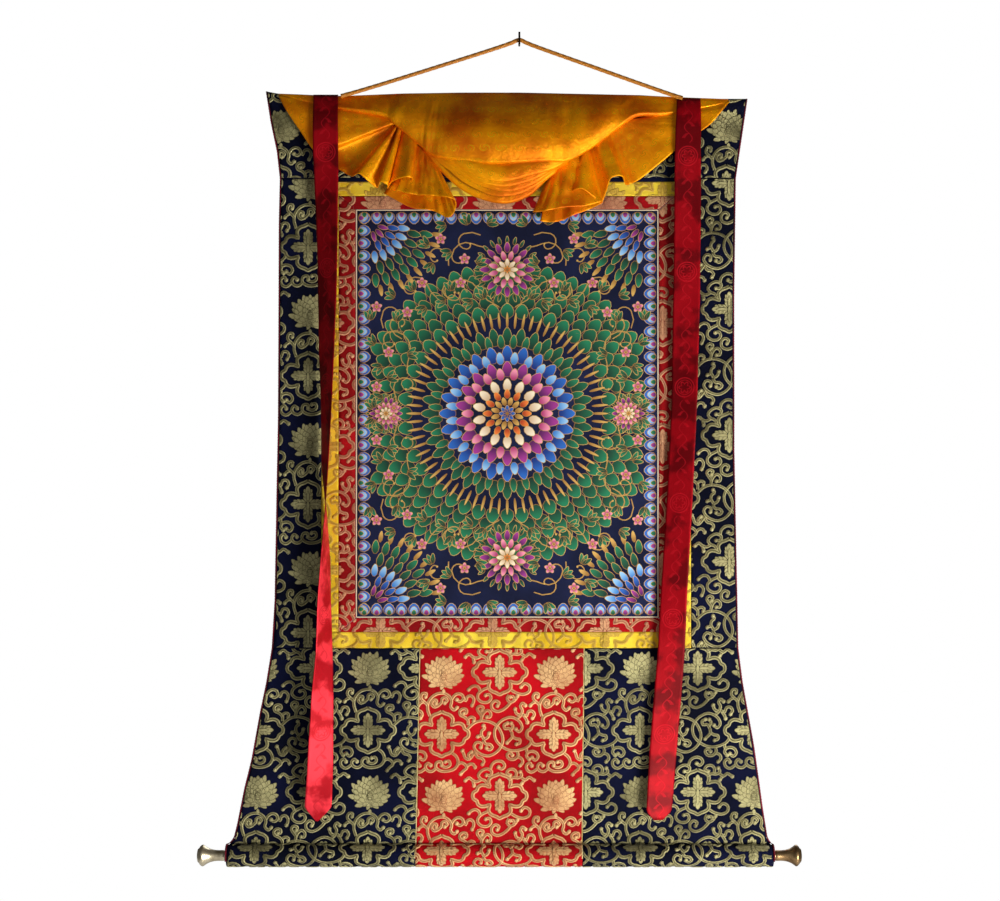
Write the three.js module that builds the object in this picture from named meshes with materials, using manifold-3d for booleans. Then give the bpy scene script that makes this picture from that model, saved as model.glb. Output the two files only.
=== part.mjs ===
// Thangka scroll painting that hangs by its cord from an L-shaped wall hook.
// Millimetres. X to the viewer's right, Z up, the wall is the plane y = 0 and the viewer is at -Y.
// The origin is the centre of the hook's flat back face on the wall.
import * as THREE from 'three';
import { mergeVertices } from 'three/addons/utils/BufferGeometryUtils.js';
import Module from 'manifold-3d';

const wasm = await Module();
wasm.setup();

// Driving sizes
const clothThickness = 2;
const seamGap = 0.3;
const topSeamZ = -201;        // lower edge of the heading panel beside the borders
const skirtSeamZ = -906;      // upper edge of the three lower panels
const skirtFootZ = -1232.3;
const rollRadius = 16.5;
const rollDepth = 19;         // distance of the roll's axis from the wall
const skirtDepthAtRoll = 13;  // distance of the cloth from the wall where it meets the roll
const headingDepth = 8;       // the same at the top edge
const borderOuter = { left: -296.8, right: 257.5, top: -206.3, bottom: skirtSeamZ };
const borderInner = { left: -271.4, right: 234.3, top: -227.6, bottom: -882 };
const pictureEdge = { left: -245.8, right: 209.5, top: -247.5, bottom: -861 };
const rollEnds = { left: -437.4, right: 379 };
const pocketSwell = 2.6;      // how far each face of the top pocket stands off the cloth
const pipingRadius = 1.3;
const ribbonThickness = 1.5;
const coverThickness = 1.8;
const cordRadius = 3.2;
const hookRadius = 1.5;
const hookReach = 19;
const hookRise = 17;
const knobNeckRadius = 8;
const knobRimRadius = 16;

// Outlines, in rows from top to bottom or from left to right
const topLine = [
  { x: -378.5, z: -70.5 }, { x: -363.5, z: -73.5 }, { x: -308, z: -75.8 }, { x: -261.5, z: -77.3 },
  { x: -249.5, z: -76.5 }, { x: -179, z: -73.5 }, { x: -89, z: -72 }, { x: 1, z: -72 },
  { x: 121, z: -74.6 }, { x: 181, z: -75.9 }, { x: 233.5, z: -78.8 }, { x: 256, z: -81.5 },
  { x: 340.6, z: -81.5 },
];
const leftEdge = [
  { z: -70.5, x: -378.5 }, { z: -115.5, x: -371.5 }, { z: -160.5, x: -362 }, { z: topSeamZ, x: -357.5 },
  { z: -270, x: -359 }, { z: -560, x: -360.2 }, { z: -834, x: -365 }, { z: skirtSeamZ, x: -369.4 },
  { z: -958.5, x: -377.9 }, { z: -1002, x: -387 }, { z: -1074, x: -399.9 }, { z: -1116, x: -410.3 },
  { z: -1170, x: -421 }, { z: -1190, x: -426 },
];
const rightEdge = [
  { z: -81.5, x: 340.6 }, { z: topSeamZ, x: 323 }, { z: -384, x: 320.5 }, { z: -609, x: 320.5 },
  { z: -834, x: 325 }, { z: skirtSeamZ, x: 326.3 }, { z: -958.5, x: 333 }, { z: -1053, x: 349.8 },
  { z: -1144.5, x: 362.6 }, { z: -1190, x: 370 },
];
const doorLeft = [{ z: skirtSeamZ, x: -149 }, { z: -1190, x: -155 }];
const doorRight = [{ z: skirtSeamZ, x: 97 }, { z: -1190, x: 94 }];

// Heights of the rows in which the side panels, the skirt and the piping are built, so that they match
const sideRows = [topSeamZ, -270, -384, -470, -560, -609, -700, -834, -870, skirtSeamZ];
const skirtRows = [skirtSeamZ, -958.5, -1002, -1053, -1074, -1116, -1144.5, -1170, -1190];
const pocketRows = [0, 3, 10, 17, 20, 45, 90];  // below the top line

// Reads a table: the value of column `want` where column `by` reaches `at`, straight between rows
function lookUp(rows, by, want, at) {
  const rising = rows[rows.length - 1][by] > rows[0][by];
  let value = rows[rows.length - 1][want];
  for (let i = rows.length - 1; i > 0; i -= 1) {
    const a = rows[i - 1];
    const b = rows[i];
    const before = rising ? at <= b[by] : at >= b[by];
    const share = THREE.MathUtils.clamp((at - a[by]) / (b[by] - a[by]), 0, 1);
    if (before) value = a[want] + (b[want] - a[want]) * share;
  }
  return value;
}

const topAt = (x) => lookUp(topLine, 'x', 'z', x);
const leftAt = (z) => lookUp(leftEdge, 'z', 'x', z);
const rightAt = (z) => lookUp(rightEdge, 'z', 'x', z);
const smooth = THREE.MathUtils.smoothstep;

// Distance of the cloth's middle from the wall if it hung quite flat
function flatDepth(z) {
  const down = THREE.MathUtils.clamp((z - topSeamZ) / (skirtFootZ + 2 * rollRadius - topSeamZ), 0, 1);
  return headingDepth + (skirtDepthAtRoll - headingDepth) * down;
}

// Slow waves across the cloth, stronger in the skirt and still at the top pocket and the roll
function waveDepth(x, z) {
  const free = smooth(-z, -topSeamZ, 150 - topSeamZ) * (1 - smooth(-z, 1120, 1185));
  const skirt = smooth(-z, -60 - skirtSeamZ, 90 - skirtSeamZ);
  const wave = (0.7 + 1.1 * skirt) * Math.sin(x / 47 + 0.8 + z / 900) + 0.8 * Math.sin(z / 83 + x / 160);
  return wave * free;
}

const clothDepth = (x, z) => flatDepth(z) + waveDepth(x, z);

// A closed sheet around the middle surface that place(u, v) gives as x, z and depth from the wall
function sheet(columns, rows, thickness, place) {
  const geometry = new THREE.BoxGeometry(1, 1, 1, columns, 1, rows);
  const position = geometry.attributes.position;
  const step = 1e-3;
  const middle = (u, v) => {
    const p = place(u, v);
    return new THREE.Vector3(p.x, -p.depth, p.z);
  };
  for (let i = 0; i < position.count; i += 1) {
    const u = position.getX(i) + 0.5;
    const v = 0.5 - position.getZ(i);
    const face = position.getY(i) < 0 ? 1 : -1;
    const along = middle(Math.min(u + step, 1), v).sub(middle(Math.max(u - step, 0), v));
    const up = middle(u, Math.max(v - step, 0)).sub(middle(u, Math.min(v + step, 1)));
    const outward = along.cross(up).normalize();
    const p = middle(u, v).addScaledVector(outward, face * thickness / 2);
    position.setXYZ(i, p.x, p.y, p.z);
  }
  return geometry;
}

// A sheet that hangs flat: edges(u, v) gives x and z, and its thickness lies along Y
function panel(columns, rows, edges, ripple = () => 0) {
  const geometry = new THREE.BoxGeometry(1, 1, 1, columns, 1, rows);
  const position = geometry.attributes.position;
  for (let i = 0; i < position.count; i += 1) {
    const face = position.getY(i) < 0 ? -1 : 1;
    const { x, z } = edges(position.getX(i) + 0.5, 0.5 - position.getZ(i));
    position.setXYZ(i, x, -clothDepth(x, z) - ripple(x) + face * clothThickness / 2, z);
  }
  return geometry;
}

function toSolid(geometry) {
  const bare = geometry.clone();
  bare.deleteAttribute('normal');
  bare.deleteAttribute('uv');
  const merged = mergeVertices(bare, 1e-4);
  return new wasm.Manifold(new wasm.Mesh({
    numProp: 3,
    vertProperties: new Float32Array(merged.attributes.position.array),
    triVerts: new Uint32Array(merged.index.array),
  }));
}

function toGeometry(solid) {
  const mesh = solid.getMesh();
  const geometry = new THREE.BufferGeometry();
  geometry.setAttribute('position', new THREE.BufferAttribute(new Float32Array(mesh.vertProperties), 3));
  geometry.setIndex(new THREE.BufferAttribute(new Uint32Array(mesh.triVerts), 1));
  return geometry;
}

const object = new THREE.Group();

function add(name, geometry, color, roughness = 0.8, metalness = 0) {
  const mesh = new THREE.Mesh(geometry, new THREE.MeshStandardMaterial({ color, roughness, metalness }));
  mesh.name = name;
  object.add(mesh);
}

const navy = '#1c2148';
const red = '#b81024';
const darkRed = '#8a1a1c';
const yellow = '#cdb51c';
const silk = '#d98a0e';
const maroon = '#5e1420';
const gold = '#b07818';
const inset = seamGap / 2;

// Heading panel: its lower edge steps down between the side panels, and its top edge is a pocket
function headingPanel() {
  const columns = 30;
  const stepWidth = 1;
  const stepColumns = { left: 3, right: 26 };
  const cornerLeft = leftAt(topSeamZ);
  const cornerRight = rightAt(topSeamZ);
  const pocketSide = [0.25, 0.8, 1, 0.7, 0];
  const between = (column, from, to, start, end) => start + (end - start) * (column - from) / (to - from);
  const lowEdge = (column) => {
    const { left, right } = stepColumns;
    const outside = topSeamZ + inset;
    const middle = borderOuter.top + inset;
    if (column <= left) {
      return { x: between(column, 0, left, cornerLeft, borderOuter.left + inset), z: outside };
    }
    if (column > right) {
      const x = between(column, right + 1, columns, borderOuter.right - inset, cornerRight);
      return { x, z: outside };
    }
    const start = borderOuter.left + inset + stepWidth;
    const end = borderOuter.right - inset - stepWidth;
    return { x: between(column, left + 1, right, start, end), z: middle };
  };
  const rows = pocketRows.length;
  const geometry = new THREE.BoxGeometry(1, 1, 1, columns, 1, rows);
  const position = geometry.attributes.position;
  for (let i = 0; i < position.count; i += 1) {
    const column = Math.round((position.getX(i) + 0.5) * columns);
    const row = Math.round((0.5 - position.getZ(i)) * rows);
    const face = position.getY(i) < 0 ? -1 : 1;
    const low = lowEdge(column);
    const share = (low.x - cornerLeft) / (cornerRight - cornerLeft);
    const top = topAt(topLine[0].x + (topLine[topLine.length - 1].x - topLine[0].x) * share);
    const z = row < rows ? top - pocketRows[row] : low.z;
    const x = leftAt(z) + (rightAt(z) - leftAt(z)) * share;
    const swell = row < pocketSide.length ? pocketSwell * pocketSide[row] : 0;
    position.setXYZ(i, x, -clothDepth(x, z) + face * (clothThickness / 2 + swell), z);
  }
  return geometry;
}

function sidePanel(leftSide, rightSide) {
  return panel(3, sideRows.length - 1, (u, v) => {
    const row = Math.round(v * (sideRows.length - 1));
    const nudge = row === 0 ? -inset : 0;
    const z = sideRows[row] + (row === sideRows.length - 1 ? inset : nudge);
    return { x: leftSide(z) + (rightSide(z) - leftSide(z)) * u, z };
  });
}

// Lower panel: a sheet whose foot runs into its stretch of the roll
function skirtPanel(leftSide, rightSide, rollLeft, rollRight) {
  const intoRoll = 13;
  const rows = [...skirtRows, skirtRows[skirtRows.length - 1] - intoRoll];
  const cloth = panel(8, rows.length - 1, (u, v) => {
    const row = Math.round(v * (rows.length - 1));
    const z = row === 0 ? rows[0] - inset : rows[row];
    return { x: leftSide(z) + (rightSide(z) - leftSide(z)) * u, z };
  });
  const roll = new THREE.CylinderGeometry(rollRadius, rollRadius, rollRight - rollLeft, 20, 1);
  roll.rotateZ(Math.PI / 2);
  roll.translate((rollLeft + rollRight) / 2, -rollDepth, skirtFootZ + rollRadius);
  return toGeometry(toSolid(cloth).add(toSolid(roll)));
}

// One side of a border, with mitred or square ends: `slant` is 1 for a mitre and 0 for a square end
function borderStrip(outer, inner, side, slant, long, wide, ripple) {
  const upright = side === 'left' || side === 'right';
  return panel(upright ? wide : long, upright ? long : wide, (u, v) => {
    if (upright) {
      const x0 = side === 'left' ? outer.left + inset : inner.right + inset;
      const x1 = side === 'left' ? inner.left - inset : outer.right - inset;
      const x = x0 + (x1 - x0) * u;
      const near = side === 'left' ? 1 - u : u;
      const end = inset * (1 + 2 * slant);
      const top = inner.top + (outer.top - inner.top) * near * slant - end;
      const low = inner.bottom + (outer.bottom - inner.bottom) * near * slant + end;
      return { x, z: top + (low - top) * v };
    }
    const z0 = side === 'top' ? outer.top - inset : inner.bottom - inset;
    const z1 = side === 'top' ? inner.top + inset : outer.bottom + inset;
    const z = z0 + (z1 - z0) * v;
    const away = (side === 'top' ? v : 1 - v) * slant;
    const left = outer.left + (inner.left - outer.left) * away + inset * (1 + 2 * slant);
    const right = outer.right + (inner.right - outer.right) * away - inset * (1 + 2 * slant);
    return { x: left + (right - left) * u, z };
  }, ripple);
}

function pictureSheet() {
  return panel(6, 10, (u, v) => ({
    x: pictureEdge.left + inset + (pictureEdge.right - pictureEdge.left - 2 * inset) * u,
    z: pictureEdge.top - inset + (pictureEdge.bottom - pictureEdge.top + 2 * inset) * v,
  }));
}

// Thin piping that follows one outer edge: a six-sided bar whose rings lie in the cloth's rows
function piping(edgeAt, topZ, side) {
  const heading = pocketRows.map((drop) => topZ - drop);
  const heights = [...heading, ...sideRows, ...skirtRows.slice(1)];
  const rows = heights.length - 1;
  const geometry = new THREE.CylinderGeometry(1, 1, 1, 6, rows);
  const position = geometry.attributes.position;
  for (let i = 0; i < position.count; i += 1) {
    const z = heights[Math.round((0.5 - position.getY(i)) * rows)];
    const x = edgeAt(z) + side * (pipingRadius + seamGap);
    const aside = position.getX(i) * pipingRadius;
    position.setXYZ(i, x + aside, -clothDepth(x, z) - position.getZ(i) * pipingRadius, z);
  }
  return geometry;
}

// Where the cover is sewn to the front of the top pocket
const coverTopDepth = headingDepth + clothThickness / 2 + pocketSwell + seamGap + coverThickness / 2;

// A folded stretch of the cover between a gathered upper curve and its hem. Each row of `folds` is one
// ridge or valley: ax, az, ad where it starts and bx, bz, bd at the hem. A lip rolls the hem under.
function foldedSheet(folds, columnsPerFold, rows, lip = 0, belly = 0) {
  const start = new THREE.CatmullRomCurve3(folds.map((f) => new THREE.Vector3(f.ax, f.ad, f.az)));
  const hem = new THREE.CatmullRomCurve3(folds.map((f) => new THREE.Vector3(f.bx, f.bd, f.bz)));
  const lipShare = lip > 0 ? 0.3 : 0;
  const columns = (folds.length - 1) * columnsPerFold;
  return sheet(columns, rows, coverThickness, (u, v) => {
    const a = start.getPoint(u);
    const b = hem.getPoint(u);
    const reach = Math.hypot(b.x - a.x, b.z - a.z);
    const radius = Math.min(lip, reach / 4, Math.max(0, (b.y - coverTopDepth) / 2));
    const towards = { x: (b.x - a.x) / reach, z: (b.z - a.z) / reach };
    const w = Math.min(v / (1 - lipShare), 1);
    const span = reach - radius;
    const bulge = belly * Math.min(1, reach / 60) * Math.sin(Math.PI * w);
    const turn = lipShare > 0 ? Math.PI * 0.9 * Math.max(0, v - 1 + lipShare) / lipShare : 0;
    const out = span * w + radius * Math.sin(turn);
    return {
      x: a.x + towards.x * out,
      z: a.z + towards.z * out,
      depth: a.y + (b.y - a.y) * w ** (lip > 0 ? 1.4 : 1) + bulge - radius * (1 - Math.cos(turn)),
    };
  });
}

// Upper stretch of the cover, from the top edge down to the line where it folds under
const swag = [
  { ax: -361, bx: -357.5, bz: -80.3, bd: 14.5 }, { ax: -276.5, bx: -261.5, bz: -99.8, bd: 20 },
  { ax: -201.5, bx: -200, bz: -111.8, bd: 27 }, { ax: -179, bx: -185, bz: -123.8, bd: 31 },
  { ax: -143, bx: -149, bz: -154.5, bd: 37 }, { ax: -125, bx: -132.5, bz: -169.5, bd: 40 },
  { ax: -104, bx: -110, bz: -175.5, bd: 45 }, { ax: -41, bx: -41, bz: -184.5, bd: 53 },
  { ax: 38.5, bx: 41.5, bz: -180.8, bd: 50 }, { ax: 68.5, bx: 70, bz: -180, bd: 44 },
  { ax: 106, bx: 107, bz: -159.8, bd: 37 }, { ax: 151, bx: 154, bz: -123.8, bd: 30 },
  { ax: 172, bx: 175, bz: -111, bd: 26 }, { ax: 211, bx: 217, bz: -108, bd: 22 },
  { ax: 313, bx: 313, bz: -88.5, bd: 14.5 },
];

// Three nested folds that hang in a U under the swag, front one first
const nestedFolds = [
  [
    { bx: -122, bz: -171.8, bd: 36 }, { bx: -93.5, bz: -186.6, bd: 44 }, { bx: -59, bz: -205.5, bd: 49 },
    { bx: -24.5, bz: -212.3, bd: 50 }, { bx: 16, bz: -201.8, bd: 48 }, { bx: 49, bz: -192, bd: 43 },
    { bx: 73, bz: -178.5, bd: 37 },
  ],
  [
    { bx: -128, bz: -174, bd: 33 }, { bx: -96.5, bz: -195, bd: 39 }, { bx: -59, bz: -216, bd: 43 },
    { bx: -20, bz: -226.5, bd: 44 }, { bx: 16, bz: -216.8, bd: 42 }, { bx: 43, bz: -199.5, bd: 38 },
    { bx: 70, bz: -181.5, bd: 33 },
  ],
  [
    { bx: -143, bz: -163.5, bd: 30 }, { bx: -117.5, bz: -192, bd: 33 }, { bx: -87.5, bz: -219, bd: 36 },
    { bx: -57.5, bz: -235.5, bd: 38 }, { bx: -20, bz: -242.7, bd: 38.5 }, { bx: 13, bz: -231, bd: 37 },
    { bx: 38.5, bz: -208.5, bd: 34 }, { bx: 61, bz: -186, bd: 30 },
  ],
];
const nestedRise = 24;
const nestedStepBack = 7;

// Pleats that fan out from the left gather, from the top corner round to the foot
const leftFan = [
  { ax: -200, az: -108, ad: 20, bx: -361.3, bz: -77.3, bd: 14.5 },
  { ax: -195.5, az: -112.5, ad: 22, bx: -350, bz: -99, bd: 22 },
  { ax: -192.5, az: -117, ad: 24, bx: -329, bz: -130.5, bd: 24 },
  { ax: -190.3, az: -120.8, ad: 25, bx: -305, bz: -165, bd: 26 },
  { ax: -190.3, az: -123, ad: 20, bx: -297.5, bz: -169.5, bd: 17 },
  { ax: -190.3, az: -125.3, ad: 19, bx: -267.5, bz: -190.5, bd: 16 },
  { ax: -189.5, az: -127.5, ad: 21, bx: -251, bz: -199.5, bd: 22 },
  { ax: -187.3, az: -129, ad: 26, bx: -239, bz: -198, bd: 38 },
  { ax: -185, az: -129.8, ad: 25, bx: -225.5, bz: -208.5, bd: 34 },
  { ax: -184.3, az: -131.3, ad: 20, bx: -213.5, bz: -216.8, bd: 20 },
  { ax: -180.5, az: -129, ad: 28, bx: -206, bz: -210.8, bd: 42 },
  { ax: -177.5, az: -132, ad: 27, bx: -197, bz: -214.5, bd: 40 },
  { ax: -176.8, az: -135, ad: 21, bx: -197, bz: -219, bd: 24 },
  { ax: -173, az: -138, ad: 25, bx: -191, bz: -210, bd: 32 },
  { ax: -161, az: -144, ad: 31, bx: -167, bz: -204, bd: 46 },
  { ax: -153.5, az: -153, ad: 30, bx: -160.3, bz: -205.5, bd: 41 },
  { ax: -153.5, az: -157.5, ad: 21, bx: -162.5, bz: -211.5, bd: 25 },
];

// The deep fold below it: its front layer runs right, turns at an open tube and comes back behind
const leftTube = [
  { ax: -158, az: -154.5, ad: 24, bx: -184.3, bz: -222, bd: 33 },
  { ax: -150.5, az: -160.5, ad: 28, bx: -162.5, bz: -228, bd: 37 },
  { ax: -141.5, az: -168, ad: 31, bx: -138.5, bz: -230.3, bd: 40 },
  { ax: -131, az: -178.5, ad: 32, bx: -113, bz: -233.3, bd: 45 },
  { ax: -119, az: -192, ad: 32, bx: -95.8, bz: -238.5, bd: 44 },
  { ax: -117.5, az: -196.5, ad: 28, bx: -95.8, bz: -252, bd: 38 },
  { ax: -122, az: -195, ad: 23, bx: -105.5, bz: -262.5, bd: 30 },
  { ax: -131, az: -186, ad: 20, bx: -128, bz: -252, bd: 25 },
  { ax: -143, az: -174, ad: 18, bx: -161, bz: -246.8, bd: 22 },
  { ax: -155, az: -159, ad: 17, bx: -203, bz: -225, bd: 18 },
];

// The same on the right: the tube, then the facets, the cone and the wide lobe up to the corner
const rightTube = [
  { ax: 41.5, az: -205.5, ad: 25, bx: 19.8, bz: -255, bd: 33 },
  { ax: 50.5, az: -199.5, ad: 30, bx: 38.5, bz: -253.5, bd: 40 },
  { ax: 64, az: -189, ad: 32, bx: 65.5, bz: -248.3, bd: 40 },
  { ax: 77.5, az: -181.5, ad: 31, bx: 98.5, bz: -245.3, bd: 34 },
  { ax: 91, az: -174, ad: 28, bx: 124, bz: -238.5, bd: 28 },
  { ax: 91, az: -177, ad: 22, bx: 121, bz: -241.5, bd: 22 },
  { ax: 73, az: -189, ad: 20, bx: 79, bz: -258.8, bd: 20 },
  { ax: 55, az: -201, ad: 19, bx: 55, bz: -267.8, bd: 19 },
  { ax: 44.5, az: -207, ad: 18.5, bx: 31, bz: -267, bd: 19 },
];
const rightFan = [
  { ax: 86.5, az: -174, ad: 24, bx: 70, bz: -228, bd: 26 },
  { ax: 92.5, az: -169.5, ad: 30, bx: 91, bz: -220.5, bd: 40 },
  { ax: 100, az: -163.5, ad: 29, bx: 109, bz: -231, bd: 34 },
  { ax: 104.5, az: -160.5, ad: 22, bx: 122.5, bz: -238.5, bd: 22 },
  { ax: 109, az: -158.3, ad: 26, bx: 130, bz: -222, bd: 30 },
  { ax: 116.5, az: -153, ad: 32, bx: 136, bz: -205.5, bd: 44 },
  { ax: 127, az: -145.5, ad: 31, bx: 152.5, bz: -202.5, bd: 42 },
  { ax: 133, az: -141.8, ad: 26, bx: 158.5, bz: -213, bd: 28 },
  { ax: 137.5, az: -139.5, ad: 21, bx: 164.5, bz: -211.5, bd: 17 },
  { ax: 145, az: -133.5, ad: 22, bx: 178, bz: -205.5, bd: 22 },
  { ax: 155.5, az: -125.3, ad: 24, bx: 211, bz: -180, bd: 25 },
  { ax: 164.5, az: -118.5, ad: 25, bx: 250, bz: -147, bd: 24 },
  { ax: 172, az: -114.8, ad: 24, bx: 286, bz: -121.5, bd: 22 },
  { ax: 178, az: -112.5, ad: 22, bx: 304, bz: -100.5, bd: 19 },
  { ax: 182.5, az: -111, ad: 20, bx: 316, bz: -86.3, bd: 14.5 },
];

function silkCover() {
  const belowTop = 1.5;
  const upper = swag.map((f) => ({ ...f, az: topAt(f.ax) - belowTop, ad: coverTopDepth }));
  let solid = toSolid(foldedSheet(upper, 2, 9, 5, 3));
  nestedFolds.forEach((folds) => {
    const band = folds.map((f) => ({ ...f, ax: f.bx, az: f.bz + nestedRise, ad: f.bd - nestedStepBack }));
    solid = solid.add(toSolid(foldedSheet(band, 2, 6, 4, 1)));
  });
  solid = solid.add(toSolid(foldedSheet(leftFan, 2, 4)));
  solid = solid.add(toSolid(foldedSheet(leftTube, 2, 4)));
  solid = solid.add(toSolid(foldedSheet(rightTube, 2, 4)));
  solid = solid.add(toSolid(foldedSheet(rightFan, 2, 4)));
  return solid;
}

// Ribbons, in rows from the top: middle, distance from the wall, turn about their length, and width
const leftRibbon = [
  { z: -76.8, x: -290, depth: 14.9, turn: 0, width: 37 },
  { z: -85, x: -289.8, depth: 18.6, turn: 0, width: 37 },
  { z: -95, x: -289.6, depth: 24, turn: 0, width: 37 },
  { z: -107, x: -289.4, depth: 29, turn: 0, width: 37 },
  { z: -122, x: -289.2, depth: 32, turn: 0, width: 37.5 },
  { z: -159, x: -288.8, depth: 33, turn: 3, width: 37.8 },
  { z: -196, x: -288, depth: 32, turn: 14, width: 38 },
  { z: -234, x: -287.5, depth: 31, turn: 23, width: 38 },
  { z: -309, x: -286.3, depth: 32, turn: 34.6, width: 38.2 },
  { z: -384, x: -286.4, depth: 33, turn: 41.7, width: 38.5 },
  { z: -459, x: -287.3, depth: 34, turn: 50.5, width: 38.7 },
  { z: -534, x: -287.5, depth: 35, turn: 61, width: 39 },
  { z: -639, x: -289.5, depth: 36, turn: 72, width: 39 },
  { z: -706.5, x: -288.4, depth: 36, turn: 90, width: 39 },
  { z: -774, x: -289, depth: 36, turn: 106.5, width: 39 },
  { z: -834, x: -290.8, depth: 35.5, turn: 115, width: 39.5 },
  { z: -909, x: -290.8, depth: 35, turn: 123.5, width: 39.5 },
  { z: -969, x: -293.3, depth: 34, turn: 138, width: 40 },
  { z: -1029, x: -295.3, depth: 33, turn: 147, width: 40 },
  { z: -1089, x: -297.2, depth: 32, turn: 160, width: 40 },
  { z: -1142, x: -300.2, depth: 31, turn: 176, width: 40 },
  { z: -1162, x: -301.7, depth: 31, turn: 180, width: 4 },
];
const rightRibbon = [
  { z: -82.2, x: 253.5, depth: 15.6, turn: 0, width: 35.5 },
  { z: -90, x: 253.2, depth: 20.4, turn: 0, width: 36 },
  { z: -99, x: 252.8, depth: 25, turn: 0, width: 36.5 },
  { z: -110, x: 252.4, depth: 28.5, turn: 0, width: 37 },
  { z: -125, x: 252, depth: 30.5, turn: 0, width: 38 },
  { z: -159, x: 251, depth: 31, turn: 0, width: 38.6 },
  { z: -234, x: 251, depth: 29, turn: 5, width: 39.4 },
  { z: -384, x: 249.4, depth: 28, turn: 10, width: 39.8 },
  { z: -459, x: 247.6, depth: 28, turn: 19, width: 40 },
  { z: -534, x: 246.1, depth: 28, turn: 24, width: 40 },
  { z: -684, x: 239, depth: 28, turn: 22, width: 40 },
  { z: -834, x: 230, depth: 28, turn: 16, width: 40 },
  { z: -909, x: 226.6, depth: 28, turn: 4, width: 40.4 },
  { z: -1059, x: 214.3, depth: 28, turn: -6, width: 41 },
  { z: -1134, x: 209.2, depth: 29, turn: -14, width: 40.5 },
  { z: -1148, x: 208.3, depth: 29, turn: -14, width: 39.5 },
  { z: -1161, x: 207.2, depth: 29, turn: -14, width: 14 },
];

function ribbon(stations) {
  const rows = (stations.length - 1) * 2;
  return sheet(3, rows, ribbonThickness, (u, v) => {
    const at = v * (stations.length - 1);
    const first = Math.min(Math.floor(at), stations.length - 2);
    const share = at - first;
    const mix = (name) => stations[first][name] * (1 - share) + stations[first + 1][name] * share;
    const turn = THREE.MathUtils.degToRad(mix('turn'));
    const across = (u - 0.5) * mix('width');
    return {
      x: mix('x') + across * Math.cos(turn),
      z: mix('z'),
      depth: mix('depth') + across * Math.sin(turn),
    };
  });
}

// Cord from the front of the top edge over the hook and down again
function cord() {
  const route = [
    [-267, -18.4, -79.2], [-258, -17.8, -76.6], [-246, -17, -73.2], [-130, -14, -37],
    [-14, -11.2, 1], [-5, -11, 4.9], [0, -11, 6.5], [5, -11, 4.7], [14, -11.2, 0.5],
    [120, -14, -38.2], [222, -17.4, -75], [234, -19.8, -79.4], [244, -21.4, -82.8],
  ].map(([x, y, z]) => new THREE.Vector3(x, y, z));
  const section = new THREE.Shape();
  section.absarc(0, 0, cordRadius, 0, 2 * Math.PI);
  return new THREE.ExtrudeGeometry(section, {
    steps: 39, curveSegments: 4, bevelEnabled: false, extrudePath: new THREE.CatmullRomCurve3(route),
  });
}

// L-shaped hook: a level shank out of the wall, and its tip turned up
function wallHook() {
  const reach = hookReach - hookRadius;
  const bend = 4;
  const path = new THREE.CurvePath();
  const elbow = new THREE.Vector3(0, -reach, 0);
  path.add(new THREE.LineCurve3(new THREE.Vector3(0, 0, 0), new THREE.Vector3(0, bend - reach, 0)));
  path.add(new THREE.QuadraticBezierCurve3(
    new THREE.Vector3(0, bend - reach, 0), elbow, new THREE.Vector3(0, -reach, bend),
  ));
  path.add(new THREE.LineCurve3(new THREE.Vector3(0, -reach, bend), new THREE.Vector3(0, -reach, hookRise)));
  const section = new THREE.Shape();
  section.absarc(0, 0, hookRadius, 0, 2 * Math.PI);
  return new THREE.ExtrudeGeometry(section, {
    steps: 16, curveSegments: 6, bevelEnabled: false, extrudePath: path,
  });
}

// Trumpet-shaped knob on the end of the roll, turned about X
function knob(x, side, length) {
  const profile = [
    { r: 0, at: 0 }, { r: 1, at: 0 }, { r: 0.94, at: 0.1 }, { r: 0.9, at: 0.22 }, { r: 0.98, at: 0.4 },
    { r: 1.22, at: 0.58 }, { r: 1.62, at: 0.74 }, { r: 1.94, at: 0.84 }, { r: 2, at: 0.88 },
    { r: 1.92, at: 0.92 }, { r: 1.3, at: 0.975 }, { r: 0, at: 1 },
  ];
  const flare = knobRimRadius / 2 / knobNeckRadius;
  const points = profile.map(({ r, at }) => {
    const radius = r <= 1 ? r * knobNeckRadius : knobNeckRadius * (1 + (r - 1) * (2 * flare - 1));
    return new THREE.Vector2(radius, at * length);
  });
  const geometry = new THREE.LatheGeometry(points, 20);
  geometry.rotateZ(-side * Math.PI / 2);
  geometry.translate(x + side * seamGap, -rollDepth, skirtFootZ + rollRadius);
  return geometry;
}

const straightAt = (rows) => (z) => lookUp(rows, 'z', 'x', z);
const doorLeftAt = straightAt(doorLeft);
const doorRightAt = straightAt(doorRight);
const shifted = (edgeAt, by) => (z) => edgeAt(z) + by;
const constant = (x) => () => x;
const pucker = (x) => 0.9 * Math.sin(x / 4.9) + 0.5 * Math.sin(x / 7.3 + 1);

add('brocade_top', headingPanel(), navy);
add('brocade_side_left', sidePanel(leftAt, constant(borderOuter.left - inset)), navy);
add('brocade_side_right', sidePanel(constant(borderOuter.right + inset), rightAt), navy);
const rollCuts = { left: doorLeft[1].x, right: doorRight[1].x };
const doorStart = shifted(doorLeftAt, inset);
const doorEnd = shifted(doorRightAt, -inset);
const lowerLeft = skirtPanel(leftAt, shifted(doorLeftAt, -inset), rollEnds.left, rollCuts.left - inset);
const lowerCenter = skirtPanel(doorStart, doorEnd, rollCuts.left + inset, rollCuts.right - inset);
const lowerRight = skirtPanel(shifted(doorRightAt, inset), rightAt, rollCuts.right + inset, rollEnds.right);
add('brocade_lower_left', lowerLeft, navy);
add('brocade_lower_center', lowerCenter, red);
add('brocade_lower_right', lowerRight, navy);

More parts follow.
